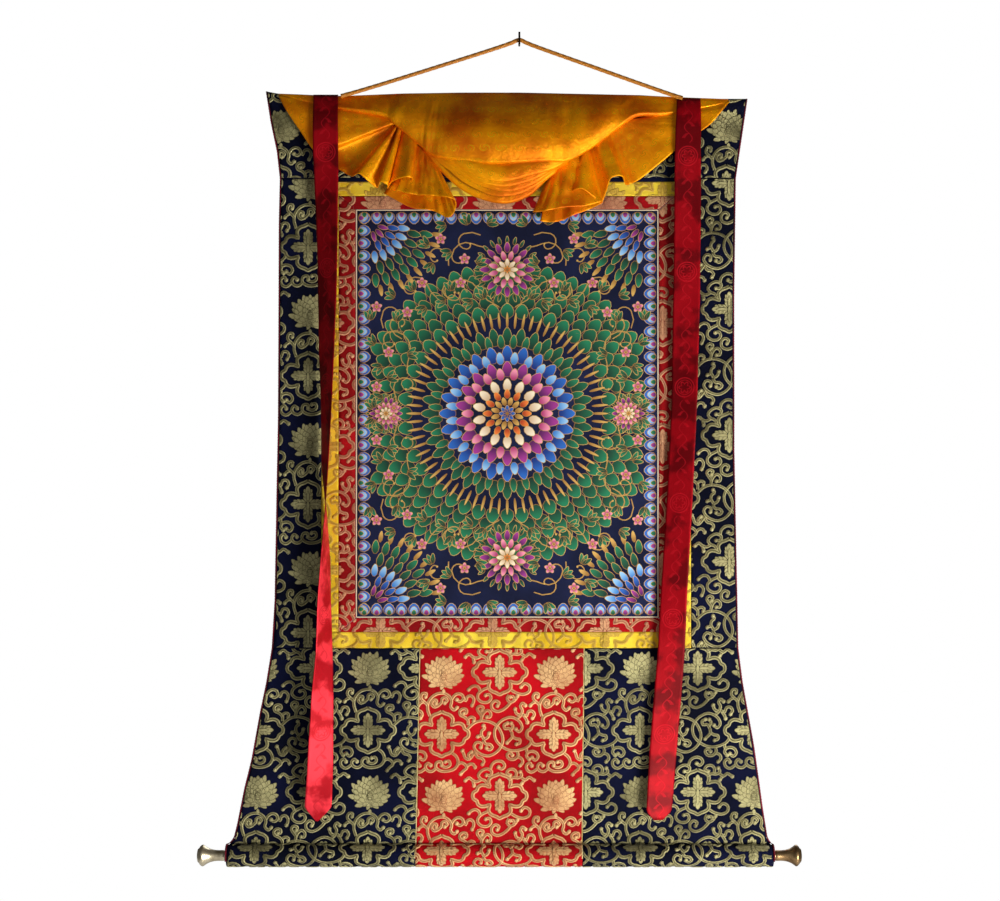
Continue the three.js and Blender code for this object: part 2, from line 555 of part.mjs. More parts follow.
['top', 'bottom', 'left', 'right'].forEach((side) => {
  const upright = side === 'left' || side === 'right';
  const long = side === 'bottom' ? 60 : 10;
  const outerRipple = side === 'bottom' ? pucker : undefined;
  add(`yellow_${side}`, borderStrip(borderOuter, borderInner, side, 0, long, 1, outerRipple), yellow);
  add(`red_${side}`, borderStrip(borderInner, pictureEdge, side, 1, 10, 1), darkRed);
});

add('painting_canvas', pictureSheet(), '#1b2a3c', 0.9);
add('binding_left', piping(leftAt, topLine[0].z, -1), maroon);
add('binding_right', piping(rightAt, topLine[topLine.length - 1].z, 1), maroon);
add('silk_cover', toGeometry(silkCover()), silk, 0.45);
add('ribbon_left', ribbon(leftRibbon), red, 0.5);
add('ribbon_right', ribbon(rightRibbon), red, 0.5);
add('hanging_cord', cord(), gold);
add('hook', wallHook(), '#1e1712', 0.5, 1);
add('knob_left', knob(rollEnds.left, -1, 44.5), '#8d7c60', 0.3, 1);
add('knob_right', knob(rollEnds.right, 1, 43), '#7a5c40', 0.35, 1);

export default object;
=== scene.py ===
# Looks of a thangka scroll painting that hangs from a wall hook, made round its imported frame.
# Sizes in the tables are millimetres: x to the right, z up, depth is the distance from the wall.
import math

import bmesh
import bpy
from mathutils import Matrix, Vector, noise


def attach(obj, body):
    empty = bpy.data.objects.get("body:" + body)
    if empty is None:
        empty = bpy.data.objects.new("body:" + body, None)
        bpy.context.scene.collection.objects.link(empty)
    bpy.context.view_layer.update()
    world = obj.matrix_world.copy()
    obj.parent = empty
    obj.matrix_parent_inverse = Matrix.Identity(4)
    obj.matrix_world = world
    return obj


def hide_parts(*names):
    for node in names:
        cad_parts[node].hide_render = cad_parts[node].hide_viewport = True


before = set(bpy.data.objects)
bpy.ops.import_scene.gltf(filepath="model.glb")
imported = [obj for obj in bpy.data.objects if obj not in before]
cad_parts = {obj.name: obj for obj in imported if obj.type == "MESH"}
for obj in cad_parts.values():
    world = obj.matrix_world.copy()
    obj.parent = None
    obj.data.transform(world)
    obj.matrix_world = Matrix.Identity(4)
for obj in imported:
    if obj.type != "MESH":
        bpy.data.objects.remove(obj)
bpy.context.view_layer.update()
mm = 0.001


def tone(*colour):  # red, green and blue as a picture shows them, for a shader
    return tuple(((c / 255 + 0.055) / 1.055) ** 2.4 if c > 10 else c / 3295 for c in colour) + (1,)


class Shader:  # one node tree and the few things that are done to it again and again
    def __init__(self, tree):
        self.tree = tree

    def put(self, socket, value):
        if isinstance(value, bpy.types.NodeSocket):
            self.tree.links.new(value, socket)
        else:
            socket.default_value = value

    def add(self, kind, values=(), **settings):
        node = self.tree.nodes.new(kind)
        for key, value in settings.items():
            setattr(node, key, value)
        for key, value in dict(values).items():
            self.put(node.inputs[key], value)
        return node

    def math(self, operation, *values, clamp=False):
        node = self.add("ShaderNodeMath", dict(enumerate(values)), operation=operation, use_clamp=clamp)
        return node.outputs[0]

    def times(self, first, second):
        return self.math("MULTIPLY", first, second)

    def plus(self, first, second, clamp=False):
        return self.math("ADD", first, second, clamp=clamp)

    def less(self, first, second):
        return self.math("SUBTRACT", first, second)

    def scaled(self, value, factor, start):  # the start plus the factor times the value
        return self.math("MULTIPLY_ADD", value, factor, start)

    def polar(self, x, y):
        far = self.math("SQRT", self.plus(self.times(x, x), self.times(y, y)))
        return far, self.math("ARCTAN2", y, x)

    def mix(self, share, first, second, kind="MIX"):
        values = {0: share, 6: first, 7: second}
        node = self.add("ShaderNodeMix", values, data_type="RGBA", blend_type=kind, clamp_factor=True)
        return node.outputs[2]

    def ramp(self, value, low, high):  # 0 below low, 1 above high
        values = {0: value, 1: low, 2: high}
        return self.add("ShaderNodeMapRange", values, interpolation_type="SMOOTHSTEP").outputs[0]

    def group(self, name, **values):
        return self.add("ShaderNodeGroup", values, node_tree=bpy.data.node_groups[name]).outputs

    def relief(self, height, strength, distance, **more):
        values = {"Height": height, "Strength": strength, "Distance": distance, **more}
        return self.add("ShaderNodeBump", values).outputs[0]

    def paint(self, values):
        for key, value in values.items():
            self.put(self.tree.nodes["Principled BSDF"].inputs[key], value)


def startMaterial(name):
    material = bpy.data.materials.new(name)
    material.use_nodes = True
    shader = Shader(material.node_tree)
    return material, shader, shader.add("ShaderNodeTexCoord").outputs["Object"]


def addObject(name, bm):
    mesh = bpy.data.meshes.new(name)
    bm.to_mesh(mesh)
    bm.free()
    made = bpy.data.objects.new(name, mesh)
    bpy.context.scene.collection.objects.link(made)
    return made


print("stage: camera, light and floor")

studio = {
    "cameraPlace": (-0.029, -3.012, -0.60975), "lens": 72,
    "keyPlace": (1.2, -1.35, -1.55), "keyAim": (-0.03, 0, -0.7), "keyPower": 64, "keySize": 0.8,
    "fillPlace": (-0.9, -2.6, -0.6), "fillPower": 7, "fillSize": 2.2,
    "backPlace": (0.7, 2.2, 0.1), "backPower": 16, "backSize": 1.5,
    "skyStrength": 0.11, "floorHeight": -1.75, "floorRadius": 1.7,
}


def makeStudio():
    scene = bpy.context.scene
    camera = bpy.data.objects.new("photoCamera", bpy.data.cameras.new("photoCamera"))
    camera.location = studio["cameraPlace"]
    camera.rotation_euler = (math.radians(90), 0, 0)
    camera.data.lens = studio["lens"]
    camera.data.sensor_width = 36
    scene.collection.objects.link(camera)
    scene.camera = camera
    for name, tint in (("key", (1.0, 0.97, 0.9)), ("fill", (0.9, 0.95, 1.0)), ("back", (1.0, 1.0, 1.0))):
        lamp = bpy.data.lights.new(name + "Light", "AREA")
        lamp.energy = studio[name + "Power"]
        lamp.size = studio[name + "Size"]
        lamp.color = tint
        holder = bpy.data.objects.new(name + "Light", lamp)
        holder.location = studio[name + "Place"]
        aim = Vector(studio["keyAim"]) - holder.location
        holder.rotation_euler = aim.to_track_quat("-Z", "Y").to_euler()
        scene.collection.objects.link(holder)
    world = bpy.data.worlds.new("studioSky")
    scene.world = world
    world.use_nodes = True
    world.node_tree.nodes.clear()
    sky = Shader(world.node_tree)
    rays = sky.add("ShaderNodeLightPath").outputs["Is Camera Ray"]
    seen = sky.add("ShaderNodeBackground", {"Color": (1, 1, 1, 1)})
    around = sky.add("ShaderNodeBackground", {"Color": (1, 0.99, 0.97, 1), "Strength": studio["skyStrength"]})
    mixer = sky.add("ShaderNodeMixShader", {0: rays, 1: around.outputs[0], 2: seen.outputs[0]})
    sky.add("ShaderNodeOutputWorld", {"Surface": mixer.outputs[0]})
    scene.view_settings.view_transform = "Standard"
    scene.view_settings.look = "None"


def makeFloor():
    bm = bmesh.new()
    bmesh.ops.create_circle(bm, cap_ends=True, segments=96, radius=studio["floorRadius"])
    bmesh.ops.translate(bm, vec=(0, -0.4, studio["floorHeight"]), verts=bm.verts)
    floor = addObject("paleFloor", bm)
    material, shader, _ = startMaterial("paleFloor")
    grain = shader.add("ShaderNodeTexNoise", {"Scale": 6.0}).outputs["Fac"]
    shade = shader.add("ShaderNodeMapRange", {"Value": grain, "To Min": 0.8, "To Max": 0.88}).outputs[0]
    shader.paint({"Base Color": shade, "Roughness": 0.9, "Emission Color": (0.9, 0.9, 0.9, 1),
                  "Emission Strength": 0.25})
    floor.data.materials.append(material)


makeStudio()
makeFloor()


def finishPiece(name, bm, materials, replaced=(), smooth=True):
    piece = addObject(name, bm)
    for material in materials:
        piece.data.materials.append(material)
    piece.data.polygons.foreach_set("use_smooth", [smooth] * len(piece.data.polygons))
    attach(piece, "root")
    if replaced:
        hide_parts(*replaced)
    return piece


def thicken(piece, thickness):
    wall = piece.modifiers.new("wall", "SOLIDIFY")
    wall.thickness = thickness * mm
    wall.offset = 0
    return piece


print("stage: materials")


def startGroup(name, inputs, outputs):  # places and charts are vectors, all else is plain values
    tree = bpy.data.node_groups.new(name, "ShaderNodeTree")
    for way, labels in (("INPUT", inputs), ("OUTPUT", outputs)):
        for label in labels:
            kind = "NodeSocketVector" if label in ("Place", "Chart") else "NodeSocketFloat"
            tree.interface.new_socket(label, in_out=way, socket_type=kind)
    shader = Shader(tree)
    return shader, shader.add("NodeGroupInput").outputs, shader.add("NodeGroupOutput").inputs


def makeWeave():  # crossing threads of a woven cloth, as a height
    shader, given, result = startGroup("weaveThreads", ["Place", "Threads"], ["Height"])
    place = shader.add("ShaderNodeSeparateXYZ", {0: given["Place"]}).outputs
    across, along = (shader.times(shader.times(place[axis], given["Threads"]), 2 * math.pi)
                     for axis in (0, 2))
    weft = shader.math("SINE", shader.plus(along, shader.times(across, 0.5)))
    shader.put(result["Height"], shader.times(shader.plus(shader.math("SINE", across), weft), 0.5))


def makeWear():  # slow cloudy change of colour and fine specks, both around 0.5
    shader, given, result = startGroup("clothWear", ["Place", "Size"], ["Cloud", "Speck"])
    finer = shader.times(given["Size"], 40.0)
    for label, scale, detail in (("Cloud", given["Size"], 4.0), ("Speck", finer, 2.0)):
        values = {"Vector": given["Place"], "Scale": scale, "Detail": detail}
        texture = shader.add("ShaderNodeTexNoise", values)
        shader.put(result[label], texture.outputs["Fac"])


def makeDamask():  # small curls in a staggered repeat, from the piece's own chart in metres
    shader, given, result = startGroup("damaskFigure", ["Chart", "Repeat"], ["Figure"])
    place = shader.add("ShaderNodeSeparateXYZ", {0: given["Chart"]}).outputs
    row = shader.times(place[1], given["Repeat"])
    stagger = shader.times(shader.math("FLOOR", row), 0.5)
    column = shader.plus(shader.times(place[0], given["Repeat"]), stagger)
    x, y = (shader.less(shader.math("FRACT", value), 0.5) for value in (column, row))
    far, angle = shader.polar(x, y)
    spiral = shader.math("SINE", shader.plus(shader.times(far, 26.0), shader.times(angle, 2.0)))
    near = shader.less(1.0, shader.ramp(far, 0.3, 0.38))
    shader.put(result["Figure"], shader.times(shader.ramp(spiral, 0.35, 0.75), near))


def makeRoundel():  # a plain ring round a six-petalled flower, with sprigs between, for the ribbons
    shader, given, result = startGroup("ribbonRoundel", ["Chart", "Pitch", "Start"], ["Figure"])
    place = shader.add("ShaderNodeSeparateXYZ", {0: given["Chart"]}).outputs
    run = shader.math("DIVIDE", shader.less(place[1], given["Start"]), given["Pitch"])
    x, y = place[0], shader.times(shader.less(shader.math("FRACT", run), 0.5), given["Pitch"])
    far, angle = shader.polar(x, y)

    def band(value, middle, half):
        off = shader.math("ABSOLUTE", shader.less(value, middle))
        return shader.less(1.0, shader.ramp(off, half * 0.6, half))

    ring = shader.plus(band(far, 0.0142, 0.0011), band(far, 0.0108, 0.0007), clamp=True)
    lobes = shader.math("ABSOLUTE", shader.math("COSINE", shader.times(angle, 3.0)))
    petals = band(far, shader.scaled(lobes, 0.0042, 0.0042), 0.0012)
    wave, dots = (shader.math("SINE", shader.times(y, 2 * math.pi / pitch)) for pitch in (0.0345, 0.01725))
    stem = band(x, shader.times(wave, 0.006), 0.0011)
    leaves = shader.times(band(x, shader.times(wave, -0.007), 0.0032), shader.ramp(dots, 0.1, 0.5))
    sprig = shader.times(shader.plus(stem, leaves, clamp=True), shader.ramp(far, 0.018, 0.021))
    flower = shader.plus(ring, petals)
    shader.put(result["Figure"], shader.plus(flower, shader.times(sprig, 0.7), clamp=True))


makeWeave()
makeWear()
makeDamask()
makeRoundel()


def clothMaterial(name, colour, dark, threads=1400.0, rough=0.8, size=9.0, gloss=0.12):
    material, shader, place = startMaterial(name)
    wear = shader.group("clothWear", Place=place, Size=size)
    weave = shader.group("weaveThreads", Place=place, Threads=threads)
    mixed = shader.mix(shader.ramp(wear["Cloud"], 0.35, 0.65), dark, colour)
    shader.paint({
        "Base Color": shader.mix(shader.times(wear["Speck"], 0.35), mixed, colour, "SCREEN"),
        "Roughness": shader.scaled(wear["Speck"], 0.15, rough - 0.08), "Specular IOR Level": gloss,
        "Normal": shader.relief(weave["Height"], 0.4, 0.0003),
    })
    return material


def threadMaterial(name, edge, middle, rough=0.45, metal=0.2):
    # metal thread laid on the ground: the stroke's two edges are bright and its middle is darker, partly a
    # paler outline thread and partly painted sheen along the raised edges
    material, shader, place = startMaterial(name)
    across = shader.add("ShaderNodeAttribute", attribute_name="across").outputs["Fac"]
    wear = shader.group("clothWear", Place=place, Size=22.0)
    stitch = shader.group("weaveThreads", Place=place, Threads=900.0)
    share = shader.times(shader.ramp(across, 0.1, 0.9), shader.ramp(wear["Cloud"], 0.15, 0.75))
    shader.paint({
        "Base Color": shader.mix(shader.times(wear["Speck"], 0.5), shader.mix(share, middle, edge), middle),
        "Metallic": metal, "Roughness": shader.scaled(wear["Speck"], 0.25, rough - 0.1), "Sheen Weight": 0.15,
        "Normal": shader.relief(stitch["Height"], 0.5, 0.0004),
    })
    return material


def silkMaterial(name, colour, deep, paintedGlint, curls, rough):
    # satin with a fine damask figure that shows by its gloss and by painted glints: the figure is painted
    # lighter in random patches, as thread that catches the light; the cloth under the folds gets painted
    # shade
    material, shader, place = startMaterial(name)
    chart = shader.add("ShaderNodeUVMap", uv_map="silk").outputs["UV"]
    slow, glintPatches = (shader.group("clothWear", Place=place, Size=size)["Cloud"] for size in (16.0, 30.0))
    figure = shader.group("damaskFigure", Chart=chart, Repeat=curls)["Figure"]
    weave = shader.group("weaveThreads", Place=place, Threads=1800.0)
    base = shader.mix(shader.ramp(slow, 0.3, 0.7), deep, colour)
    # painted glint: the woven figure is painted in the lighter glint colour, only in random patches, where
    # the thread would catch the light
    figureAndGlint = shader.times(figure, shader.scaled(shader.ramp(glintPatches, 0.42, 0.62), 0.5, 0.12))
    # painted shade: the cloth lying under an overhanging fold is painted towards dark orange-brown, by the
    # share kept in the fold shade attribute
    foldShade = shader.times(shader.add("ShaderNodeAttribute", attribute_name="fold").outputs["Fac"], 0.75)
    values = {"Vector": place, "Scale": 85.0, "Detail": 3.0, "Distortion": 0.6}
    crumple = shader.relief(shader.add("ShaderNodeTexNoise", values).outputs[0], 0.5, 0.0022)
    height = shader.plus(shader.times(weave["Height"], 0.4), shader.times(figure, 0.4))
    shader.paint({
        # tone(120, 40, 0) is the colour of the painted fold shade
        "Base Color": shader.mix(foldShade, shader.mix(figureAndGlint, base, paintedGlint), tone(120, 40, 0)),
        "Roughness": shader.scaled(figure, -0.12, rough), "Metallic": 0.45, "Specular IOR Level": 0.14,
        "Normal": shader.relief(height, 0.35, 0.0003, Normal=crumple),
    })
    return material


def ribbonMaterial(name, low, high, figured):
    material, shader, place = startMaterial(name)
    chart = shader.add("ShaderNodeUVMap", uv_map="silk").outputs["UV"]
    figure = shader.group("ribbonRoundel", Chart=chart, Pitch=0.1725, Start=0.347)["Figure"]
    wear = shader.group("clothWear", Place=place, Size=24.0)
    weave = shader.group("weaveThreads", Place=place, Threads=1700.0)
    base = shader.mix(shader.ramp(wear["Cloud"], 0.42, 0.56), low, high)
    shader.paint({
        "Base Color": shader.mix(shader.times(figure, 0.6), base, figured),
        "Roughness": shader.scaled(figure, 0.1, 0.48), "Metallic": 0.25, "Specular IOR Level": 0.12,
        "Normal": shader.relief(shader.plus(shader.times(weave["Height"], 0.3), figure), 0.4, 0.0003),
    })
    return material


def cordMaterial():
    material, shader, place = startMaterial("cordYarn")
    depth = shader.add("ShaderNodeAttribute", attribute_name="crown").outputs["Fac"]
    wear = shader.group("clothWear", Place=place, Size=60.0)
    # painted shade: the valleys between the twisted strands, where the ring is narrower, are painted dark
    # brown and the crowns of the strands lighter
    base = shader.mix(shader.ramp(depth, 2.45, 2.9), tone(104, 48, 4), tone(200, 124, 22))
    shader.paint({
        "Base Color": shader.mix(shader.times(wear["Speck"], 0.5), base, tone(160, 96, 16)), "Roughness": 0.6,
        "Sheen Weight": 0.5, "Sheen Tint": tone(255, 200, 100),
        "Normal": shader.relief(wear["Speck"], 0.5, 0.0004),
    })
    return material


def metalMaterial(name, bright, dull, rough):
    material, shader, place = startMaterial(name)
    wear = shader.group("clothWear", Place=place, Size=45.0)
    tarnish = shader.ramp(wear["Cloud"], 0.35, 0.7)
    shader.paint({
        "Base Color": shader.mix(tarnish, bright, dull), "Metallic": 1.0,
        "Roughness": shader.scaled(tarnish, 0.25, rough),
        "Normal": shader.relief(wear["Speck"], 0.12, 0.0003),
    })
    return material


def paintMaterial(name, deep, light):  # body colour that is shaded from the foot of a petal to its tip
    material, shader, place = startMaterial(name)
    along = shader.add("ShaderNodeAttribute", attribute_name="across").outputs["Fac"]
    wear = shader.group("clothWear", Place=place, Size=50.0)
    weave = shader.group("weaveThreads", Place=place, Threads=900.0)
    share = shader.times(shader.ramp(along, 0.0, 1.0), shader.scaled(wear["Cloud"], 0.5, 0.7))
    shader.paint({
        "Base Color": shader.mix(share, deep, light), "Roughness": shader.scaled(wear["Speck"], 0.2, 0.55),
        "Specular IOR Level": 0.3, "Normal": shader.relief(weave["Height"], 0.25, 0.0002),
    })
    return material


finish = {
    "navy": clothMaterial("navyGround", tone(9, 13, 40), tone(4, 6, 18), gloss=0.06),
    "red": clothMaterial("redGround", tone(184, 4, 18), tone(132, 2, 8)),
    "darkRed": clothMaterial("darkRedGround", tone(160, 10, 18), tone(116, 4, 8)),
    "yellow": clothMaterial("yellowGround", tone(236, 204, 62), tone(208, 164, 24)),
    "canvas": clothMaterial("paintedCanvas", tone(24, 30, 62), tone(14, 18, 40), threads=900.0, rough=0.85),
    "binding": clothMaterial("bindingTape", tone(112, 24, 40), tone(70, 10, 22), size=40.0),
    "selvage": clothMaterial("selvageThread", tone(225, 205, 150), tone(190, 160, 90), size=60.0),
    "goldOnNavy": threadMaterial("goldOnNavy", tone(214, 206, 148), tone(78, 72, 36), rough=0.42, metal=0.45),
    "goldOnRed": threadMaterial("goldOnRed", tone(255, 214, 150), tone(160, 92, 46)),
    "goldOnDark": threadMaterial("goldOnDarkRed", tone(232, 176, 128), tone(150, 84, 54)),
    "oliveOnYellow": threadMaterial("oliveOnYellow", tone(224, 188, 58), tone(168, 128, 12), metal=0.0),
    # coverSilk: its third colour is the painted glint on the damask figure
    "silk": silkMaterial("coverSilk", tone(255, 164, 2), tone(206, 96, 0), tone(255, 196, 16), 62.0, 0.39),
    "ribbon": ribbonMaterial("ribbonSatin", tone(106, 0, 8), tone(158, 3, 18), tone(200, 20, 36)),
    "ribbonReverse": ribbonMaterial("ribbonReverse", tone(170, 10, 26), tone(234, 52, 66), tone(180, 12, 28)),
    "cord": cordMaterial(),
    "knobLeft": metalMaterial("silveredBrass", tone(255, 242, 210), tone(150, 134, 104), 0.26),
    "knobRight": metalMaterial("darkBronze", tone(184, 150, 106), tone(78, 56, 36), 0.28),
    "hook": metalMaterial("blackenedIron", tone(48, 38, 30), tone(24, 18, 14), 0.4),
}
paintTones = {  # in the order in which the picture's tables number them
    "gold": ((150, 104, 44), (214, 172, 92)), "cream": ((206, 176, 140), (244, 232, 208)),
    "green": ((6, 62, 44), (22, 124, 84)), "leaf": ((4, 44, 34), (14, 98, 66)),
    "blue": ((8, 40, 118), (36, 104, 196)), "sky": ((44, 118, 200), (150, 200, 236)),
    "plum": ((80, 18, 84), (164, 52, 148)), "rose": ((170, 46, 110), (240, 150, 180)),
    "orange": ((170, 50, 16), (236, 126, 52)), "ink": ((10, 12, 26), (20, 24, 48)),
}
paints = [paintMaterial("paint" + name.capitalize(), tone(*deep), tone(*light))
          for name, (deep, light) in paintTones.items()]

print("stage: shape of the hanging cloth")

hang = {
    "thickness": 2, "topSeam": -201, "clothFoot": -1202, "foot": -1232.3, "rollRadius": 16.5, "rollDepth": 19,
    "depthTop": 8, "depthRoll": 13, "gap": 0.06, "pocketSwell": 2.6,
    "borderOuter": (-296.8, 257.5, -206.3, -906), "borderInner": (-271.4, 234.3, -227.6, -882),
    "picture": (-245.8, 209.5, -247.5, -861), "rollEnds": (-437.4, 379),
}
lie = {  # where the cloth waves freely, from its top; the painting lies flatter than the brocade
    "free": (201, 351), "settled": (1120, 1185), "skirt": (846, 996),
    "calm": 0.85, "calmCentre": (-18, -554), "calmHalf": (250, 330), "calmEdge": 18,
}
pocket = {"turned": 0.19, "backGap": 1.7, "bend": 0.02, "thinner": 0.8}
topLine = [
    (-378.5, -70.5), (-363.5, -73.5), (-308, -75.8), (-261.5, -77.3), (-249.5, -76.5), (-179, -73.5),
    (-89, -72), (1, -72), (121, -74.6), (181, -75.9), (233.5, -78.8), (256, -81.5), (340.6, -81.5),
]
leftEdge = [
    (-70.5, -378.5), (-115.5, -371.5), (-160.5, -362), (-201, -357.5), (-270, -359), (-560, -360.2),
    (-834, -365), (-906, -369.4), (-958.5, -377.9), (-1002, -387), (-1074, -399.9), (-1116, -410.3),
    (-1170, -421), (-1190, -426), (-1196, -430), (-1201.5, -436.5),
]
rightEdge = [
    (-81.5, 340.6), (-201, 323), (-384, 320.5), (-609, 320.5), (-834, 325), (-906, 326.3), (-958.5, 333),
    (-1053, 349.8), (-1144.5, 362.6), (-1190, 370), (-1196, 373.5), (-1201.5, 378.3),
]
doorLeft = [(-906, -149), (-1190, -155)]
doorRight = [(-906, 97), (-1190, 94)]
lowerPanels = [("lower_left", "navy", 0.076), ("lower_center", "red", 0.073), ("lower_right", "navy", 0.073)]
borders = {  # boxes are left, right, top, bottom; slant 1 mitres the ends and 0 leaves them square
    "yellow": {
        "boxes": (hang["borderOuter"], hang["borderInner"]), "slant": 0, "coarser": 1,
        "ground": "yellow", "thread": "oliveOnYellow", "slot": "yellow_brocade",
        "long": (0.555, 0.0235), "upright": (0.0245, 0.655),
    },
    "red": {
        "boxes": (hang["borderInner"], hang["picture"]), "slant": 1, "coarser": 2,
        "ground": "darkRed", "thread": "goldOnDark", "slot": "dark_red_brocade",
        "long": (0.506, 0.0205), "upright": (0.0255, 0.654),
    },
}
puckered = ("yellow", "bottom")
stripCorners = {  # the two outer corners of each strip, as the places of their x and z in a box
    "top": ((0, 2), (1, 2)), "bottom": ((0, 3), (1, 3)), "left": ((0, 2), (0, 3)), "right": ((1, 2), (1, 3)),
}


def lookUp(rows, at):  # value beside `at` in a table of pairs, straight between its rows
    rising = rows[-1][0] > rows[0][0]
    for (a, first), (b, second) in zip(rows, rows[1:]):
        if (at <= b) if rising else (at >= b):
            share = min(max((at - a) / (b - a), 0), 1)
            return first + (second - first) * share
    return rows[-1][1]


def smoothStep(value, low, high):
    share = min(max((value - low) / (high - low), 0), 1)
    return share * share * (3 - 2 * share)


def spot(x, depth, z):  # a point in metres from one in millimetres
    return Vector((x, -depth, z)) * mm


def leftAt(z):
    return lookUp(leftEdge, z)


def rightAt(z):
    return lookUp(rightEdge, z)


def withinEdges(x, z):
    return min(max(x, leftAt(z) + 1), rightAt(z) - 1)


def fineWave(x, z):  # small unevenness of real cloth
    return 0.5 * noise.noise((x / 45, z / 70, 3.1)) + 0.16 * noise.noise((x / 13, z / 22, 7.7))


def clothDepth(x, z):
    run = hang["foot"] + 2 * hang["rollRadius"] - hang["topSeam"]
    down = min(max((z - hang["topSeam"]) / run, 0), 1)
    flat = hang["depthTop"] + (hang["depthRoll"] - hang["depthTop"]) * down
    free = smoothStep(-z, *lie["free"]) * (1 - smoothStep(-z, *lie["settled"]))
    skirt = smoothStep(-z, *lie["skirt"])
    wave = (0.7 + 1.1 * skirt) * math.sin(x / 47 + 0.8 + z / 900) + 0.8 * math.sin(z / 83 + x / 160)
    near = [smoothStep(half - abs(value - middle), 0, lie["calmEdge"])
            for value, middle, half in zip((x, z), lie["calmCentre"], lie["calmHalf"])]
    return flat + wave * free + fineWave(x, z) * (1 - lie["calm"] * near[0] * near[1])


def frontDepth(x, z):  # the front face of the flat cloth
    return clothDepth(x, z) + hang["thickness"] / 2


def pocketSwell(x, z):
    drop = lookUp(topLine, x) - z
    return hang["pocketSwell"] * smoothStep(drop, -2, 3) * (1 - smoothStep(drop, 13, 20.5))


def pucker(x, z):
    return 0.9 * math.sin(x / 4.9) + 0.5 * math.sin(x / 7.3 + 1) + 0.3 * noise.noise((x / 3.1, z / 20, 1.3))


def clothSheet(name, columns, rows, outline, material, replaced, swell=None):
    # outline(u, v) gives x and z; v runs up from the foot
    bm = bmesh.new()
    bmesh.ops.create_grid(bm, x_segments=columns, y_segments=rows, size=0.5)
    for vert in bm.verts:
        x, z = outline(vert.co.x + 0.5, vert.co.y + 0.5)
        vert.co = spot(x, clothDepth(x, z) + (swell(x, z) if swell else 0), z)
    return thicken(finishPiece(name, bm, [material], [replaced]), hang["thickness"])


def betweenEdges(leftSide, rightSide, low, high, insetLeft=0.0, insetRight=0.0):
    def outline(u, v):
        z = low + (high - low) * v
        left, right = leftSide(z) + insetLeft, rightSide(z) - insetRight
        return left + (right - left) * u, z
    return outline


def straightEdge(x):
    return lambda z: x


def makeHeading():  # the lower edge steps down between the side panels, the top is turned over to the back
    outerLeft, outerRight, outerTop = hang["borderOuter"][:3]
    bend = pocket["bend"]
    bm = bmesh.new()
    bmesh.ops.create_grid(bm, x_segments=140, y_segments=48, size=0.5)
    for vert in bm.verts:
        u, v = vert.co.x + 0.5, (vert.co.y + 0.5) * (1 + pocket["turned"])
        x = leftAt(hang["topSeam"]) + (rightAt(hang["topSeam"]) - leftAt(hang["topSeam"])) * u
        low = (outerTop if outerLeft < x < outerRight else hang["topSeam"]) + hang["gap"] / 2
        top = lookUp(topLine, topLine[0][0] + (topLine[-1][0] - topLine[0][0]) * u)
        z = low + (top - low) * (v if v < 1 else 2 - v)
        x = leftAt(z) + (rightAt(z) - leftAt(z)) * u
        behind = smoothStep(v, 1 - bend, 1 + bend)
        swell = pocketSwell(x, z) * (1 - behind)
        vert.co = spot(x, clothDepth(x, z) + swell - pocket["backGap"] * behind, z)
    cloth = finishPiece("heading_cloth", bm, [finish["navy"]], ["brocade_top"])
    return thicken(cloth, hang["thickness"] * pocket["thinner"])


def makePanels():
    left, right, _, bottom = hang["borderOuter"]
    half = hang["gap"] / 2
    panels = [(makeHeading(), (0.72, 0.135), 0.094)]
    sides = [
        ("left", leftAt, straightEdge(left), (0, half)), ("right", straightEdge(right), rightAt, (half, 0)),
    ]
    for side, start, end, insets in sides:
        outline = betweenEdges(start, end, bottom + half, hang["topSeam"] - half, *insets)
        replaced = f"brocade_side_{side}"
        cloth = clothSheet(f"side_cloth_{side}", 14, 140, outline, finish["navy"], replaced)
        panels.append((cloth, (0.07, 0.705), 0.046))
    seams = [leftAt, lambda z: lookUp(doorLeft, z), lambda z: lookUp(doorRight, z), rightAt]
    for index, (name, colour, area) in enumerate(lowerPanels):
        insets = (half if index else 0, half if index < 2 else 0)
        outline = betweenEdges(seams[index], seams[index + 1], hang["clothFoot"], bottom - half, *insets)
        cloth = clothSheet(f"{name}_cloth", 60, 74, outline, finish[colour], f"brocade_{name}")
        panels.append((cloth, (0.28, 0.30), area))
    return panels


def stripOutline(side, outer, inner, slant):
    half = hang["gap"] / 2
    end = half * (1 + 2 * slant)

    def outline(u, v):
        if side in ("left", "right"):
            x0, x1 = (outer[0], inner[0]) if side == "left" else (inner[1], outer[1])
            x0, x1 = x0 + half, x1 - half
            near = 1 - u if side == "left" else u
            top = inner[2] + (outer[2] - inner[2]) * near * slant - end
            low = inner[3] + (outer[3] - inner[3]) * near * slant + end
            return x0 + (x1 - x0) * u, low + (top - low) * v
        z0, z1 = (inner[2], outer[2]) if side == "top" else (outer[3], inner[3])
        z0, z1 = z0 + half, z1 - half
        away = (1 - v if side == "top" else v) * slant
        start = outer[0] + (inner[0] - outer[0]) * away + end
        stop = outer[1] + (inner[1] - outer[1]) * away - end
        return start + (stop - start) * u, z0 + (z1 - z0) * v
    return outline


def makeBorders():
    strips = []
    for side in stripCorners:
        long = side in ("top", "bottom")
        columns, rows = (420 if side == "bottom" else 160, 8) if long else (8, 150)
        for name, border in borders.items():
            swell = pucker if (name, side) == puckered else None
            outline = stripOutline(side, *border["boxes"], border["slant"])
            cloth = clothSheet(f"{name}_cloth_{side}", columns // border["coarser"], rows, outline,
                               finish[border["ground"]], f"{name}_{side}", swell)
            strips.append((cloth, border["long" if long else "upright"]))
    return strips


